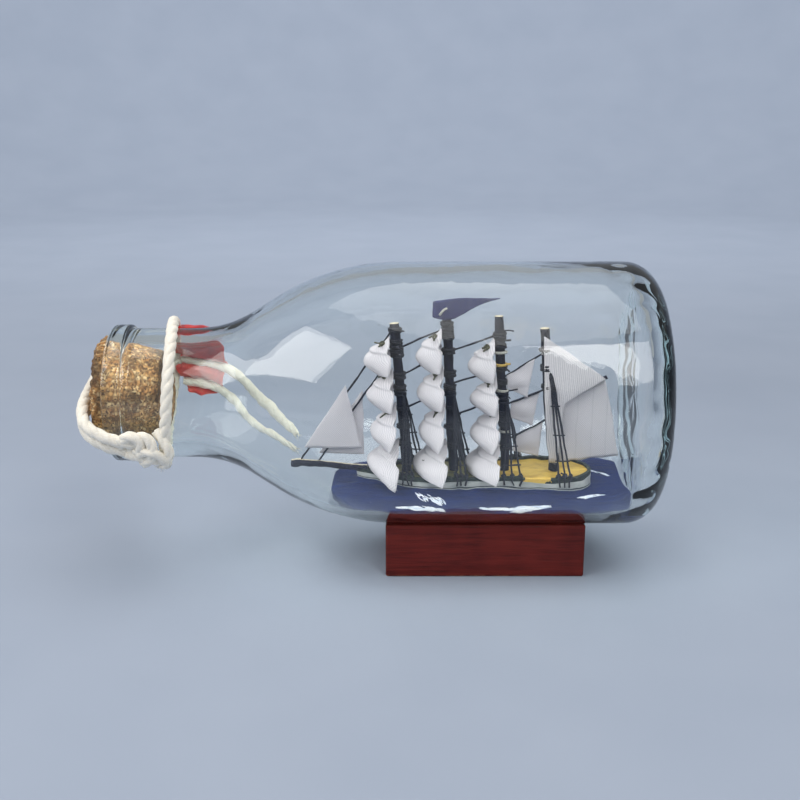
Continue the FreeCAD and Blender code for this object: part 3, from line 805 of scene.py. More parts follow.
def glass_push(i, x, r, angle):
    """The outer skin strays very little, and never outwards."""
    if i >= FIRST_INNER:
        return inner_stray(x, r, angle)
    free = clamped((x - STRAY_START_X) / STRAY_WAY)
    return -0.09 * free * abs(stray_field(x, angle, 0, 0.06, 1.6))


def add_bubbles(bottle, count, seed):
    """Small stretched cavities inside the wall of the body, facing inwards."""
    rng = random.Random(seed)
    whole = bmesh.new()
    whole.from_mesh(bottle.data)
    for _ in range(count):
        x, angle = rng.uniform(-30, 26), rng.uniform(0, math.tau)
        place = polar(x, radius_at(OUTER, x) - rng.uniform(0.75, 0.95), angle) * MM
        stretch = Matrix.Diagonal((rng.uniform(1.0, 2.2), 1, 1, 1))
        made = bmesh.ops.create_icosphere(whole, subdivisions=2,
                                          radius=rng.uniform(0.08, 0.17) * MM,
                                          matrix=Matrix.Translation(place) @ stretch)
        faces = {face for vert in made["verts"] for face in vert.link_faces}
        for face in faces:
            face.smooth = True
        bmesh.ops.reverse_faces(whole, faces=list(faces))
    whole.to_mesh(bottle.data)
    whole.free()


bottle = add_piece("glass_bottle", lathe(glass_line, BOTTLE_SIDES, glass_push),
                   "bottle_glass", stands_for=["bottle"])
add_bubbles(bottle, 16, seed=4)

# ---- cork ----
CORK_BEVEL = 0.9
CORK_GAP = 0.1
CORK_SEAT_LENGTH = 4.0
CORK_STEP = 0.45
CORK_SIDES = 200
cork_outline = [
    (CORK_OUTER_X, 0), (CORK_OUTER_X, CORK_HEAD_RADIUS - CORK_BEVEL),
    (CORK_OUTER_X + CORK_BEVEL, CORK_HEAD_RADIUS), (MOUTH_X - 0.5, CORK_HEAD_RADIUS - 0.3),
    (MOUTH_X - CORK_GAP, CORK_HEAD_RADIUS - CORK_BEVEL), (MOUTH_X - CORK_GAP, CORK_SEAT_RADIUS),
    (MOUTH_X + CORK_SEAT_LENGTH, CORK_SEAT_RADIUS), (CORK_INNER_X, CORK_TIP_RADIUS),
    (CORK_INNER_X, 0),
]


def cork_push(i, x, r, angle):
    """Crumbs and pits, always inwards; the part in the bore is nearly smooth."""
    place = Vector((x, r * math.cos(angle), r * math.sin(angle)))
    crumb = noise.fractal(place * 0.75, 0.7, 2.1, 4)
    pit = max(0.0, noise.noise(place * 0.42 + Vector((5, 2, 8))) - 0.12)
    depth = 0.9 if x < MOUTH_X - 0.2 else 0.25
    return depth * clamped(0.30 + 0.38 * crumb + 1.5 * pit)


add_piece("cork", lathe(even_steps(cork_outline, CORK_STEP), CORK_SIDES, cork_push),
          "cork", body="cork", stands_for=["cork_stopper"])

# ---- string round the neck, knot and loop ----
RING_X = -70.7
RING_RADIUS = 16.0
RING_NORMAL = Vector((1.0, 0.139, -0.101)).normalized()


def ring_point(angle):
    """A point in metres on the string's turn; angle 0 is at the back, 90 at the top."""
    side = Vector((0, 1, 0))
    side = (side - RING_NORMAL * side.dot(RING_NORMAL)).normalized()
    up = RING_NORMAL.cross(side)
    a = math.radians(angle)
    around = side * math.cos(a) + up * math.sin(a)
    return (rel(RING_X, 0, 0) + around * RING_RADIUS) * MM


# The turn's ends stop just short of each other, inside the knot.
RING_START = 221
RING_POINTS = 400
ring = [ring_point(RING_START - 360 * i / RING_POINTS) for i in range(RING_POINTS - 4)]
add_piece("neck_turn", twisted(ring, STRING_RADIUS, seed=5), "string",
          stands_for=["neck_string"], scale=1.0)

# The knot's visible strands: route, radius, frayed length and the seed of the twist.
KNOT_STRING = 1.15
KNOT_STRANDS = [
    ([(-70.9, -15.0, -4.2), (-69.6, -15.7, -6.0), (-68.6, -15.9, -7.8), (-68.3, -15.5, -9.6),
      (-69.6, -15.2, -10.7), (-72.0, -15.2, -10.7), (-74.6, -15.4, -10.0),
      (-77.6, -15.0, -9.3)], KNOT_STRING, 0.0, 12),
    ([(-76.6, -14.6, -9.0), (-76.2, -15.5, -7.0), (-74.9, -16.2, -5.4), (-73.0, -16.8, -4.9),
      (-71.7, -17.0, -6.4), (-71.5, -16.8, -8.4), (-72.4, -15.8, -10.6),
      (-74.2, -14.6, -11.6)], KNOT_STRING, 0.0, 17),
    ([(-78.9, -15.2, -7.4), (-78.0, -16.6, -5.7), (-76.2, -17.2, -4.6), (-74.4, -17.2, -5.4),
      (-73.8, -16.8, -7.2), (-74.6, -16.0, -9.2)], KNOT_STRING, 0.0, 23),
    ([(-75.4, -15.6, -8.6), (-73.6, -17.0, -8.2), (-71.4, -17.4, -8.3), (-69.8, -16.6, -9.6),
      (-69.0, -15.4, -11.4), (-70.4, -14.6, -12.4)], KNOT_STRING * 0.9, 2.0, 31),
]
knot_shells = [twisted(curve_points(route), radius, fray, seed)
               for route, radius, fray, seed in KNOT_STRANDS]
add_piece("knot", join(knot_shells), "string", stands_for=["string_knot"], scale=1.0)

# The turns over the cork stretch between these two places along the bottle.
LOOPS = {"cork_loop": (CORK_LOOP_ROUTE, 21), "cork_loop_inner": (CORK_LOOP_INNER_ROUTE, 45)}
for node, (route, seed) in LOOPS.items():
    loop = add_piece("string_" + node, twisted(curve_points(route), STRING_RADIUS, seed=seed),
                     "string", body=None, stands_for=[node], scale=1.0)
    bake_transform(loop)

# ---- wax ----
WAX_START_X = -72.3
WAX_END_X = -60.1
WAX_LOW = math.radians(-24.0)
WAX_HIGH = math.radians(84.0)
WAX_THICKNESS = 2.2
TAIL_ROOM = 1.9
WAX_SIDES = 80
WAX_RINGS = 30


def over_tails(x, z, neck):
    """Radius that clears the tails where they cross a point on the neck's back."""
    here = Vector((x, z))
    highest = neck
    for route in (UPPER_TAIL_ROUTE, LOWER_TAIL_ROUTE):
        for start, end in zip(route, route[1:]):
            a, b = Vector((start[0], start[2])), Vector((end[0], end[2]))
            share = clamped((here - a).dot(b - a) / (b - a).length_squared)
            gap = (here - a.lerp(b, share)).length / TAIL_ROOM
            place = Vector(start).lerp(Vector(end), share)
            outside = math.hypot(place.y, place.z) + STRING_RADIUS + 0.1
            highest = max(highest, neck + (outside - neck) * math.sqrt(max(0.0, 1 - gap * gap)))
    return highest


def wax_blob():
    """A lens of wax on the neck: thick in the middle, thin and ragged at its edge, and
    hollowed where the tails run through it against the glass."""
    middle_x = (WAX_START_X + WAX_END_X) / 2
    middle_angle = (WAX_LOW + WAX_HIGH) / 2
    top, under = [], []
    for i in range(WAX_RINGS):
        share = i / (WAX_RINGS - 1)
        for j in range(WAX_SIDES):
            a = math.tau * j / WAX_SIDES
            ragged = 0.90 + 0.10 * noise.noise(Vector((2.2 * math.cos(a), 2.2 * math.sin(a), 4)))
            square = (abs(math.cos(a)) ** 3 + abs(math.sin(a)) ** 3) ** (-1 / 3)
            reach = min(1.0, share * ragged * square)
            x = middle_x + reach * math.cos(a) * (WAX_END_X - WAX_START_X) / 2
            angle = middle_angle + reach * math.sin(a) * (WAX_HIGH - WAX_LOW) / 2
            neck = radius_at(OUTER, x) + 0.01
            lump = noise.fractal(Vector((x * 0.33, 5 * angle, 2)), 0.8, 2.0, 3)
            thick = WAX_THICKNESS * (1 - share ** 3) * min(1.0, 0.72 + 0.28 * lump)
            low = over_tails(x, neck * math.sin(angle), neck)
            high = max(neck + thick, low + 0.5 * (1 - share ** 3)) + 0.05
            top.append(polar(x, high, angle))
            under.append(polar(x, low, angle))
    size = len(top)
    faces = grid_faces(WAX_RINGS, WAX_SIDES, close_columns=True)
    faces += [f[::-1] for f in grid_faces(WAX_RINGS, WAX_SIDES, close_columns=True, first=size)]
    last = size - WAX_SIDES
    for j in range(WAX_SIDES):
        k = (j + 1) % WAX_SIDES
        faces.append((last + j, last + k, size + last + k, size + last + j))
    return top + under, faces


add_piece("wax", wax_blob(), "sealing_wax", stands_for=["wax_seal"])

# ---- sea ----
SEA_GAP = 0.05
SEA_ROUND = 9.0
SEA_COLUMNS = 60
SEA_EDGE = 0.04
SEA_STATIONS = 160
# Half the width of the strip under the hull that stays flat.
SEA_FLAT = 6.5


def sea_top(x, y):
    """Height of the putty's surface, pressed and combed a little, flat under the hull."""
    side = clamped((abs(y - SHIP_Y) - SEA_FLAT) / 3)
    swell = noise.fractal(Vector((x * 0.11, y * 0.25, 3)), 0.8, 2.0, 3)
    return SEA_LEVEL - 0.12 * side * (1 + swell)


def sea_half_width(x):
    """Half the putty's width at its surface, less in its rounded forward end."""
    glass = radius_at(INNER, x) - SEA_GAP - 0.5
    full = math.sqrt(glass ** 2 - (AXIS_Z - SEA_LEVEL) ** 2)
    into_round = SEA_LOW.x + SEA_ROUND - x
    if into_round <= 0:
        return full
    return full - SEA_ROUND + math.sqrt(max(0.0, SEA_ROUND ** 2 - into_round ** 2))


def sea_bottom(x, y):
    """The putty lies against the bottle's inner skin."""
    angle = -QUARTER + y / BODY_RADIUS
    glass = radius_at(INNER, x)
    glass -= inner_stray(x, glass, angle) + SEA_GAP
    return AXIS_Z - math.sqrt(max(0.0, glass ** 2 - y ** 2))


def sea_mesh():
    """The putty's closed shell; its stations crowd together towards both ends."""
    length = SEA_HIGH.x - SEA_LOW.x
    stations = [SEA_LOW.x + length * (1 - math.cos(math.pi * i / SEA_STATIONS)) / 2
                for i in range(SEA_STATIONS + 1)]
    rows = []
    for x in stations:
        half = sea_half_width(x)
        shares = [2 * j / (SEA_COLUMNS - 1) - 1 for j in range(SEA_COLUMNS)]
        top = [Vector((x, half * s, sea_top(x, half * s))) for s in shares]
        for point in (top[0], top[-1]):
            point.z -= SEA_EDGE
        under = []
        for s in reversed(shares):
            y = half * s
            under.append(Vector((x, y, min(sea_bottom(x, y), sea_top(x, y) - 2 * SEA_EDGE))))
        rows.append(top + under)
    points = [p for row in rows for p in row]
    size = len(rows[0])
    faces = grid_faces(len(rows), size, close_columns=True)
    for start in (0, len(points) - size):
        for j in range(SEA_COLUMNS - 1):
            a, b = start + j, start + j + 1
            c, d = start + size - 2 - j, start + size - 1 - j
            faces.append((a, b, c, d))
    return points, faces


add_piece("sea", sea_mesh(), "sea_paint", stands_for=["sea_base"])


STROKE_STEPS = 14
STROKE_LIFT = 0.015


def brush_stroke(start, end, width, hairs, seed):
    """White paint dragged by a brush: many thin ridges that start and stop unevenly."""
    rng = random.Random(seed)
    start, end = Vector(start), Vector(end)
    along = end - start
    across = Vector((-along.y, along.x)).normalized()
    shells = []
    for _ in range(hairs):
        share = rng.uniform(-0.5, 0.5)
        first = rng.uniform(0.0, 0.72) + 0.1 * abs(share)
        last = min(1.0, first + rng.uniform(0.12, 0.42))
        line, radii = [], []
        for k in range(STROKE_STEPS + 1):
            t = first + (last - first) * k / STROKE_STEPS
            wave = 0.16 * width * math.sin(3.4 * t + seed)
            spread = width * share * (0.55 + 0.45 * math.sin(math.pi * t))
            place = start + along * t + across * (spread + wave)
            taper = math.sin(math.pi * clamped((k + 0.4) / (STROKE_STEPS + 0.8)))
            line.append(Vector((place.x, place.y, sea_top(place.x, place.y) + STROKE_LIFT)))
            radii.append((0.03 + 0.07 * taper) * rng.uniform(0.8, 1.2))
        shells.append(tube(line, radii, 6))
    return shells


# Start and end of each stroke in plan, its width and how many ridges the brush left.
STROKES = [
    ((-20.5, -14.3), (-11.5, -15.2), 1.3, 45), ((-14.5, -14.0), (-9.0, -15.6), 1.2, 27),
    ((-2.5, -14.8), (6.0, -15.2), 1.0, 36), ((4.0, -15.4), (14.0, -14.0), 1.7, 66),
    ((-12.8, -6.6), (-9.8, -13.4), 2.6, 39), ((-15.5, -6.4), (-13.0, -11.5), 1.6, 24),
    ((-24.0, 11.5), (-12.0, 13.0), 1.5, 42), ((0.0, 13.0), (12.0, 12.4), 1.6, 45),
    ((24.0, 8.0), (29.5, 3.0), 1.2, 27), ((20.0, -9.0), (27.0, -7.5), 1.0, 24),
]
strokes = [shell for seed, stroke in enumerate(STROKES, start=1)
           for shell in brush_stroke(*stroke, seed)]
add_piece("wave_strokes", join(strokes), "sea_paint", FOAM)

# ---- sails and flag ----
CLOTH = 0.2
# The sails' outlines and bellies are repeated from the model's source. Their folds,
# pleats and ruffles are added here, and their cloth is thinner than the model's.
SAIL_TOP_HALF_WIDTH = 1.2
SAIL_TOP_AHEAD = 1.3
SAIL_LAP = 0.8
LEECH_HOLLOW = 0.2
SWELL_LOWNESS = 1.5
CROSS_FULLNESS = 2.3
FOLD = 0.8
FOLD_PLACE = 0.36
FOLD_ABOVE = 0.13
FOLD_BELOW = 0.045
PLEAT = 0.64
RUFFLE = 0.22
# In declare_sheet's sums a sheet is no narrower than this, and fills no less than this share of
# its box.
LEAST_SHEET = 10.0
LEAST_SHARE = 0.301
SAIL_GRID = 40
FLAT_SAIL_COLUMNS = 22
FLAT_SAIL_ROWS = 24
# Half width, how far the foot's middle and its corners stand ahead of the mast, and
# how far the middle bellies out.
SQUARE_SAILS = {
    "royal": (5.0, 4.9, 2.2, 3.7),
    "topgallant": (6.5, 5.0, 2.4, 3.7),
    "topsail": (8.0, 5.2, 3.2, 3.7),
    "course": (11.0, 8.8, 3.0, 2.2),
}
# Height of the highest sail's head and of each sail's foot above the bottle's axis.
SAIL_HEIGHTS = {
    "fore": (12.7, 4.3, -3.6, -12.2, -17.4),
    "main": (14.4, 4.9, -3.2, -12.6, -18.2),
    "mizzen": (12.1, 2.9, -4.6, -12.6, -18.2),
}
# How far a course's corners drop below the middle of its foot.
COURSE_DROP = {"fore": 3.2, "main": 1.1, "mizzen": 1.1}
# Fore-and-aft sails from top to bottom as pairs of forward and after points, x and
# height above the axis, and the shift from the ship's centre plane.
FLAT_SAILS = {
    "outer_jib": ([((-31.0, 1.5), (-31.0, 1.5)), ((-40.9, -13.5), (-27.8, -13.4))], -0.6),
    "inner_jib": ([((-27.3, -0.1), (-27.3, -0.1)), ((-37.5, -15.2), (-27.4, -15.3))], 0.6),
    "upper_staysail": ([((5.0, 3.8), (11.2, 7.6)), ((5.1, 0.8), (10.0, -1.5))], -0.2),
    "middle_staysail": ([((6.2, -2.8), (12.7, -0.1)), ((5.8, -6.5), (11.2, -8.1))], 0.2),
    "lower_staysail": ([((7.5, -10.5), (13.7, -7.1)), ((6.5, -14.5), (13.0, -16.3))], 0.0),
    "spanker_sail": ([((16.2, -3.2), (27.2, 2.6)), ((17.7, -17.3), (31.6, -15.5))], 0.0),
    "gaff_topsail": ([((12.8, 12.9), (12.8, 12.9)), ((13.5, 3.2), (27.1, 3.2)),
                      ((13.9, -2.4), (18.2, -2.4)), ((14.2, -6.0), (17.6, -6.0)),
                      ((15.1, -17.1), (17.0, -17.1))], -1.3),
}


def cloth(name, grid, threads, slot, node, material=None):
    """A thin closed sheet over rows of points; threads gives each point's place on the
    cloth in millimetres, which the weave follows."""
    rows, columns = len(grid), len(grid[0])
    front, back = [], []
    for i in range(rows):
        for j in range(columns):
            down = grid[min(i + 1, rows - 1)][j] - grid[max(i - 1, 0)][j]
            over = grid[i][min(j + 1, columns - 1)] - grid[i][max(j - 1, 0)]
            if over.length < 1e-6:
                over = grid[1][-1] - grid[1][0]
            normal = down.cross(over).normalized()
            front.append(grid[i][j] + normal * CLOTH / 2)
            back.append(grid[i][j] - normal * CLOTH / 2)
    size = rows * columns
    faces = grid_faces(rows, columns)
    faces += [f[::-1] for f in grid_faces(rows, columns, first=size)]
    rim = list(range(columns))
    rim += [i * columns + columns - 1 for i in range(1, rows)]
    rim += [(rows - 1) * columns + j for j in range(columns - 2, -1, -1)]
    rim += [i * columns for i in range(rows - 2, 0, -1)]
    for a, b in zip(rim, rim[1:] + rim[:1]):
        faces.append((a, size + a, size + b, b))
    places = [place for row in threads for place in row]
    return add_piece(name, (front + back, faces), slot, material, stands_for=[node],
                     threads=places + places)


def sheet_area(grid):
    """Area in square millimetres of a grid of points."""
    total = 0.0
    for upper, lower in zip(grid, grid[1:]):
        for a, b, c, d in zip(upper, upper[1:], lower[1:], lower):
            total += ((b - a).cross(c - a).length + (c - a).cross(d - a).length) / 2
    return total


def declare_sheet(grid, threads):
    """Works out the cut's size: its extent along both ways of the weave, and its own area, but
    passes none of it on.
    """
    across, down = zip(*[place for row in threads for place in row])
    width, length = (max(LEAST_SHEET, max(v) - min(v)) for v in (across, down))
    area = min(max(sheet_area(grid), LEAST_SHARE * width * length), width * length)


def square_sail_point(mast, sail, head, foot, u, v, seed):
    """A point on a bellied square sail; u runs across it and v down it."""
    half_width, foot_ahead, corner_ahead, bulge = SQUARE_SAILS[sail]
    drop = COURSE_DROP[mast] if sail == "course" else 0.0
    half = SAIL_TOP_HALF_WIDTH + (half_width - SAIL_TOP_HALF_WIDTH) * math.sin(v * math.pi / 2)
    swell = math.sin(v ** SWELL_LOWNESS * math.pi)
    middle = SAIL_TOP_AHEAD + (foot_ahead - SAIL_TOP_AHEAD) * v + bulge * swell
    leech = SAIL_TOP_AHEAD + (corner_ahead - SAIL_TOP_AHEAD) * v * v - LEECH_HOLLOW * swell
    outward = abs(u) ** CROSS_FULLNESS
    ahead = leech + (middle - leech) * (1 - outward)
    # The gathered head folds over the belly in an arch, soft above and sharp below.
    arch = v - FOLD_PLACE - 0.05 * u * u
    ahead += FOLD * math.exp(-(arch / (FOLD_ABOVE if arch < 0 else FOLD_BELOW)) ** 2)
    height = head + (foot - head) * v - drop * outward * v
    pleat = PLEAT * (1 - v) ** 2 * v * math.cos(9 * u + seed)
    ruffle = RUFFLE * v * noise.noise(Vector((u * 1.7 + seed * 3, v * 2.0, seed)))
    return rel(mast_x(mast, height) - ahead + pleat + ruffle, SHIP_Y + u * half, height)


def sail_head(heights, i):
    """Height of a square sail's head, which laps over the foot of the one above."""
    return heights[i] + (SAIL_LAP if i else 0)


def square_sail_grid(mast, sail, head, foot, seed):
    """Rows of a square sail's points, and their places on the weave."""
    grid = [[square_sail_point(mast, sail, head, foot, 2 * c / SAIL_GRID - 1, r / SAIL_GRID, seed)
             for c in range(SAIL_GRID + 1)] for r in range(SAIL_GRID + 1)]
    middle = SAIL_GRID // 2
    threads = []
    down = 0.0
    for r, row in enumerate(grid):
        if r:
            down += (row[middle] - grid[r - 1][middle]).length
        span = sum((b - a).length for a, b in zip(row, row[1:]))
        threads.append([((c / SAIL_GRID - 0.5) * span, down) for c in range(SAIL_GRID + 1)])
    return grid, threads


def flat_sail_grid(rails, shift, seed):
    """Rows of a fore-and-aft sail's points, and their places on the weave."""
    grid, threads = [], []
    peak = rails[0][0][1]
    depth = peak - rails[-1][0][1]
    for part, (upper, lower) in enumerate(zip(rails, rails[1:])):
        rows = max(2, round(FLAT_SAIL_ROWS * (upper[0][1] - lower[0][1]) / depth))
        for r in range(0 if part == 0 else 1, rows + 1):
            ahead = Vector(upper[0]).lerp(Vector(lower[0]), r / rows)
            aft = Vector(upper[1]).lerp(Vector(lower[1]), r / rows)
            places = [ahead.lerp(aft, c / FLAT_SAIL_COLUMNS)
                      for c in range(FLAT_SAIL_COLUMNS + 1)]
            row = []
            for c, (x, height) in enumerate(places):
                down = min(1, (peak - height) / depth)
                belly = math.sin(math.pi * c / FLAT_SAIL_COLUMNS) * math.sin(math.pi * down)
                belly *= 0.30 + 0.10 * noise.noise(Vector((x * 0.3, height * 0.3, seed)))
                row.append(rel(x, SHIP_Y + shift - belly, height))
            grid.append(row)
            threads.append([tuple(place) for place in places])
    return grid, threads


fray_shells = []


def fray_edge(edge, outward, count, length, rng):
    """Loose threads along an edge of cloth, given as points in millimetres."""
    for _ in range(count):
        k = rng.randrange(len(edge) - 1)
        start = edge[k].lerp(edge[k + 1], rng.random()) * MM
        fray_shells.extend(fibres(start, Vector(outward), 1, length, rng))


seed = 0
for mast, heights in SAIL_HEIGHTS.items():
    for i, sail in enumerate(SQUARE_SAILS):
        seed += 1
        name = mast + "_" + sail
        grid, threads = square_sail_grid(mast, sail, sail_head(heights, i), heights[i + 1], seed)
        piece = cloth("cloth_" + name, grid, threads, "sailcloth", name)
        declare_sheet(grid, threads)
        rng = random.Random(seed)
        if name == "mizzen_royal":
            upper_cloth = [row[SAIL_GRID // 3] for row in grid[2:18]]
            fray_edge(upper_cloth, (-1, -0.3, 0.25), 16, 1.9, rng)
        if sail == "course" and mast != "fore":
            fray_edge([row[1] for row in grid[:5]], (-1, -0.8, 0.15), 8, 3.2, rng)
        fray_edge([row[0] for row in grid[SAIL_GRID // 4:]], (0.3, -1, -0.1), 3, 0.8, rng)
        fray_edge(grid[-1], (-0.2, -0.3, -1), 3, 0.7, rng)

OWN_CLOTH = {"spanker_sail": SPANKER_CLOTH, "gaff_topsail": TOPSAIL_CLOTH}
for index, (name, (rails, shift)) in enumerate(FLAT_SAILS.items()):
    grid, threads = flat_sail_grid(rails, shift, index)
    piece = cloth("cloth_" + name, grid, threads, "sailcloth", name, OWN_CLOTH.get(name))
    declare_sheet(grid, threads)
    rng = random.Random(50 + index)
    fray_edge(grid[-1], (0.0, -0.3, -1), 4, 0.6, rng)
    fray_edge([row[-1] for row in grid], (1, -0.3, 0.2), 4, 0.6, rng)
add_piece("sail_frays", join(fray_shells), "sailcloth", scale=1.0)

# The pennant goes round the main mast's head and flies aft. In plan, x, y from the mast
# and the heights of its upper and lower edges.
PENNANT_PATH = [
    (-6.9, 0.5, 20.3, 17.6), (-8.2, 1.3, 20.4, 17.2), (-9.8, 1.5, 20.5, 17.0),
    (-11.4, 0.9, 20.3, 17.0), (-11.8, -0.5, 20.4, 16.9), (-10.6, -1.5, 20.75, 16.8),
    (-8.6, -1.5, 21.1, 16.6), (-6.4, -1.25, 21.3, 16.75), (-4.0, -1.15, 21.35, 17.9),
    (-1.0, -1.3, 21.4, 19.4), (2.8, -1.2, 21.4, 21.2),
]
PENNANT_COLUMNS = 10
plan = curve_points([(x, y, 0.0) for x, y, _, _ in PENNANT_PATH], 8)
pennant_rows, pennant_threads = [], []
along = 0.0
for k, place in enumerate(plan):
    share = k / (len(plan) - 1) * (len(PENNANT_PATH) - 1)
    low = min(int(share), len(PENNANT_PATH) - 2)
    (_, _, *this), (_, _, *following) = PENNANT_PATH[low:low + 2]
    top, foot = (a + (b - a) * (share - low) for a, b in zip(this, following))
    x, y = place.x / MM, place.y / MM
    ripple = 0.18 * math.sin(1.1 * x) if x > -5.5 else 0.0
    row = [rel(x, SHIP_Y + y + ripple, top + (foot - top) * c / PENNANT_COLUMNS)
           for c in range(PENNANT_COLUMNS + 1)]
    along += (row[0] - pennant_rows[-1][0]).length if k else 0.0
    pennant_rows.append(row)
    pennant_threads.append([(along, row[0].z - point.z) for point in row])
pennant = cloth("pennant_cloth", pennant_rows, pennant_threads, "flag_cloth", "pennant")
declare_sheet(pennant_rows, pennant_threads)

# ---- lashings, knots and thread ends ----
HULL_EDGE = 7.0
TURN_STEPS = 14


def thread_line(points, radius=THREAD_RADIUS):
    """A thread through points in millimetres."""
    return tube([Vector(p) * MM for p in points], [radius * MM] * len(points), 6)


def lashing(mast, height, turns, spread, rng, radius=THREAD_RADIUS):
    """Thread wound round a mast, uneven and partly on top of itself."""
    line = []
    for k in range(turns * TURN_STEPS + 1):
        angle = math.tau * k / TURN_STEPS
        level = height + spread * math.sin(0.9 * k / TURN_STEPS + rng.random() * 0.15) / 2
        out = MAST_RADIUS + radius * (0.9 + 1.3 * abs(noise.noise(Vector((k * 0.05, height, 1)))))
        line.append(rel(mast_x(mast, level) + out * math.cos(angle),
                        SHIP_Y + out * math.sin(angle), level))
    return thread_line(line, radius)


def loose_end(start, heading, length, rng, radius=THREAD_RADIUS * 0.8):
    """A short cut end of thread that sticks out and droops."""
    heading = Vector(heading).normalized()
    bend = Vector((rng.uniform(-0.3, 0.3), rng.uniform(-0.3, 0.3), rng.uniform(-0.5, 0.1)))
    line = [start + heading * length * t + bend * length * t * t for t in (0, 0.3, 0.6, 1.0)]
    return thread_line(line, radius)


def small_knot(centre, size, rng, radius=THREAD_RADIUS):
    """Two crossed turns of thread with their ends cut short."""
    shells = []
    for turn in range(2):
        tilt = Matrix.Rotation(0.9 * turn + rng.uniform(-0.3, 0.3), 3, "X")
        tilt = tilt @ Matrix.Rotation(1.2 * turn + rng.uniform(-0.3, 0.3), 3, "Z")
        line = [centre + tilt @ Vector((size * math.cos(a), size * 0.75 * math.sin(a),
                                        0.15 * size * math.cos(2 * a)))
                for a in [math.tau * k / 16 for k in range(17)]]
        shells.append(thread_line(line, radius))
    for _ in range(2):
        heading = (rng.uniform(-1, 0.3), rng.uniform(-1, 0.2), rng.uniform(-0.8, 0.6))
        shells.append(loose_end(centre, heading, size * rng.uniform(2.0, 3.2), rng, radius))
    return shells


# Heights above the axis, turns and spread of the lashings on each mast.
LASHINGS = {
    "fore": [(14.0, 4, 0.8), (10.6, 9, 2.6), (8.4, 5, 1.2), (3.6, 6, 1.4), (0.2, 8, 2.2),
             (-4.2, 4, 0.9), (-8.5, 4, 1.0), (-12.4, 5, 1.2)],
    "main": [(14.6, 9, 2.4), (12.6, 5, 1.2), (9.2, 5, 1.1), (4.0, 5, 1.2), (0.2, 9, 2.4),
             (-4.0, 4, 1.0), (-8.6, 4, 1.0), (-13.0, 5, 1.2)],
    "mizzen": [(11.8, 9, 2.8), (5.4, 4, 0.8), (2.4, 5, 1.0), (-1.4, 10, 2.8), (-6.0, 7, 2.0),
               (-8.0, 5, 1.2), (-13.2, 5, 1.4)],
    "jigger": [(9.4, 4, 0.7), (5.4, 6, 1.2), (0.9, 4, 0.7)],
}
rng = random.Random(77)
windings = [lashing(mast, height, turns, spread, rng)
            for mast, rows in LASHINGS.items() for height, turns, spread in rows]
for mast, rows in LASHINGS.items():
    for height, _, _ in rows:
        edge = rel(mast_x(mast, height) + MAST_RADIUS, SHIP_Y - 0.4, height)
        if rng.random() < 0.3:
            windings.append(loose_end(edge, (1, -0.4, 0.1), rng.uniform(0.5, 1.3), rng))
for height in (13.7, 0.0):
    tail = rel(mast_x("mizzen", height) + MAST_RADIUS, SHIP_Y - 0.3, height)
    windings.append(loose_end(tail, (1, -0.2, 0.25), 2.4, rng, THREAD_RADIUS))
# The jigger's shrouds are seized together under the masthead: distance down and radius.
SEIZING = [(-0.3, 0.30), (0.5, 0.52), (2.2, 0.55), (4.0, 0.48), (5.4, 0.30)]
for side in (-1, 1):
    apex = rel(mast_x("jigger", 5.6) + 0.7, SHIP_Y + side * 0.8, 5.2)
    foot = rel(MASTS["jigger"][0] + 1.5, SHIP_Y + side * 6.4, -16.4)
    heading = (foot - apex).normalized()
    windings.append(tube([(apex + heading * t) * MM for t, _ in SEIZING],
                         [r * MM for _, r in SEIZING], 10))
add_piece("lashings", join(windings), "rigging_thread", scale=1.0)

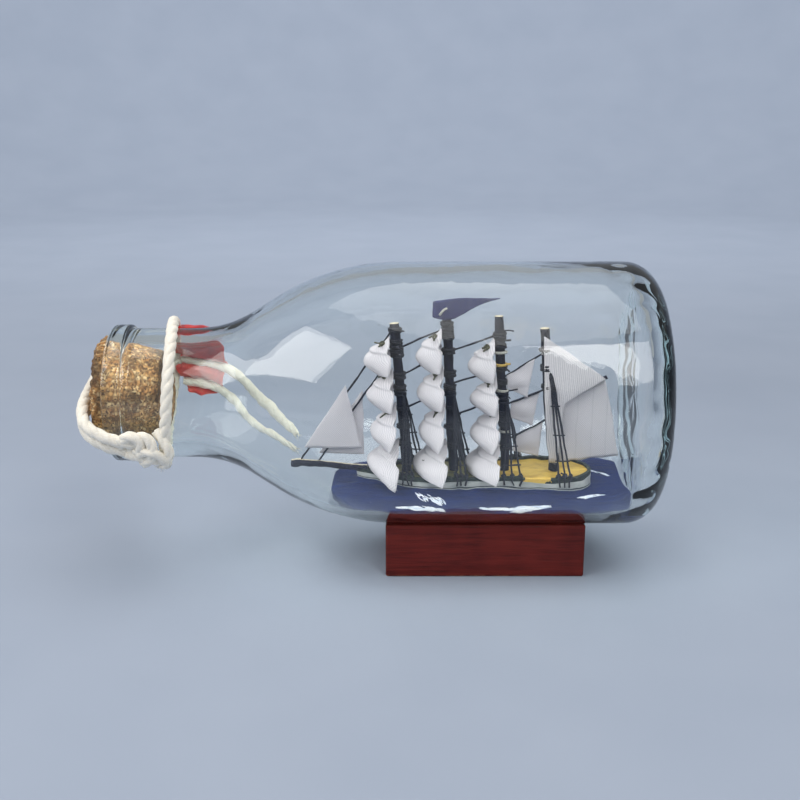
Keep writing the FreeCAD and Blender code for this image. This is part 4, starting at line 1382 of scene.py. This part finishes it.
pale = [lashing("mizzen", height, turns, spread, rng, radius)
        for height, turns, spread, radius in
        [(8.9, 3, 0.9, 0.26), (-0.2, 3, 0.8, 0.26), (-9.7, 2, 0.5, 0.22)]]
pale.append(loose_end(rel(-8.6, SHIP_Y - 1.9, 19.3), (-1, -0.2, -0.4), 2.0, rng, 0.28))
add_piece("pale_thread", join(pale), "string", PALE_THREAD, scale=1.0)
ochre = [lashing("mizzen", 6.2, 2, 0.5, rng, 0.3)]
ochre.append(loose_end(rel(mast_x("mizzen", 6.4) + 0.8, SHIP_Y - 0.9, 6.4), (1, -0.2, 0.5),
                       1.3, rng, 0.28))
add_piece("ochre_thread", join(ochre), "rigging_thread", OCHRE_THREAD, scale=1.0)

for mast, heights in SAIL_HEIGHTS.items():
    knots = []
    for i, sail in enumerate(SQUARE_SAILS):
        place = square_sail_point(mast, sail, sail_head(heights, i), heights[i + 1],
                                  -0.45, 0.17, i)
        place += Vector((-0.4, -0.4, 0))
        knots += small_knot(place, 0.55, rng)
        inward = [place, place + Vector((1.0, 0.5, 0.2)), place + Vector((2.6, 1.2, 0.4))]
        knots.append(thread_line(inward, 0.2))
    add_piece(mast + "_knots", join(knots), "rigging_thread", OLIVE_THREAD,
              stands_for=[mast + "_sail_ties"], scale=1.0)

# Lanyards: under each shroud's foot a loop of thread hangs over the hull's side. The
# feet's distance from the ship's centre, and how far aft of the mast they stand on the
# port and the starboard side.
SHROUD_FEET = {
    "fore": (5.3, (-1.0, 0.1, 1.2), (1.2, 2.4, 3.5)),
    "main": (6.4, (0.2, 1.3, 2.4), (2.0, 3.0, 3.9)),
    "mizzen": (6.4, (-0.8, 1.1, 3.0), (2.0, 3.0, 4.0)),
    "jigger": (6.4, (0.2, 1.6, 2.8), (0.2, 1.6, 2.8)),
}
lanyards = []
for mast, (half_width, port, starboard) in SHROUD_FEET.items():
    for side, feet in ((-1, port), (1, starboard)):
        for dx in feet:
            x = MASTS[mast][0] + dx
            out = [(half_width, 0.5), (half_width + 0.35, 0.75), (HULL_EDGE + 0.25, 0.35),
                   (HULL_EDGE + 0.3, -0.7), (HULL_EDGE + 0.28, -1.7)]
            line = [Vector((x + 0.1 * k * rng.uniform(-1, 1), SHIP_Y + side * y, RAIL_TOP + z))
                    for k, (y, z) in enumerate(out)]
            lanyards.append(thread_line(line, 0.2))
            lanyards += small_knot(Vector((x, SHIP_Y + side * half_width, RAIL_TOP + 0.6)),
                                   0.38, rng, 0.18)
add_piece("lanyards", join(lanyards), "rigging_thread", scale=1.0)

# ---- finish ----
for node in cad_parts.values():
    for place in node.material_slots:
        place.material = MATERIALS[place.material.name.split(".")[0]]
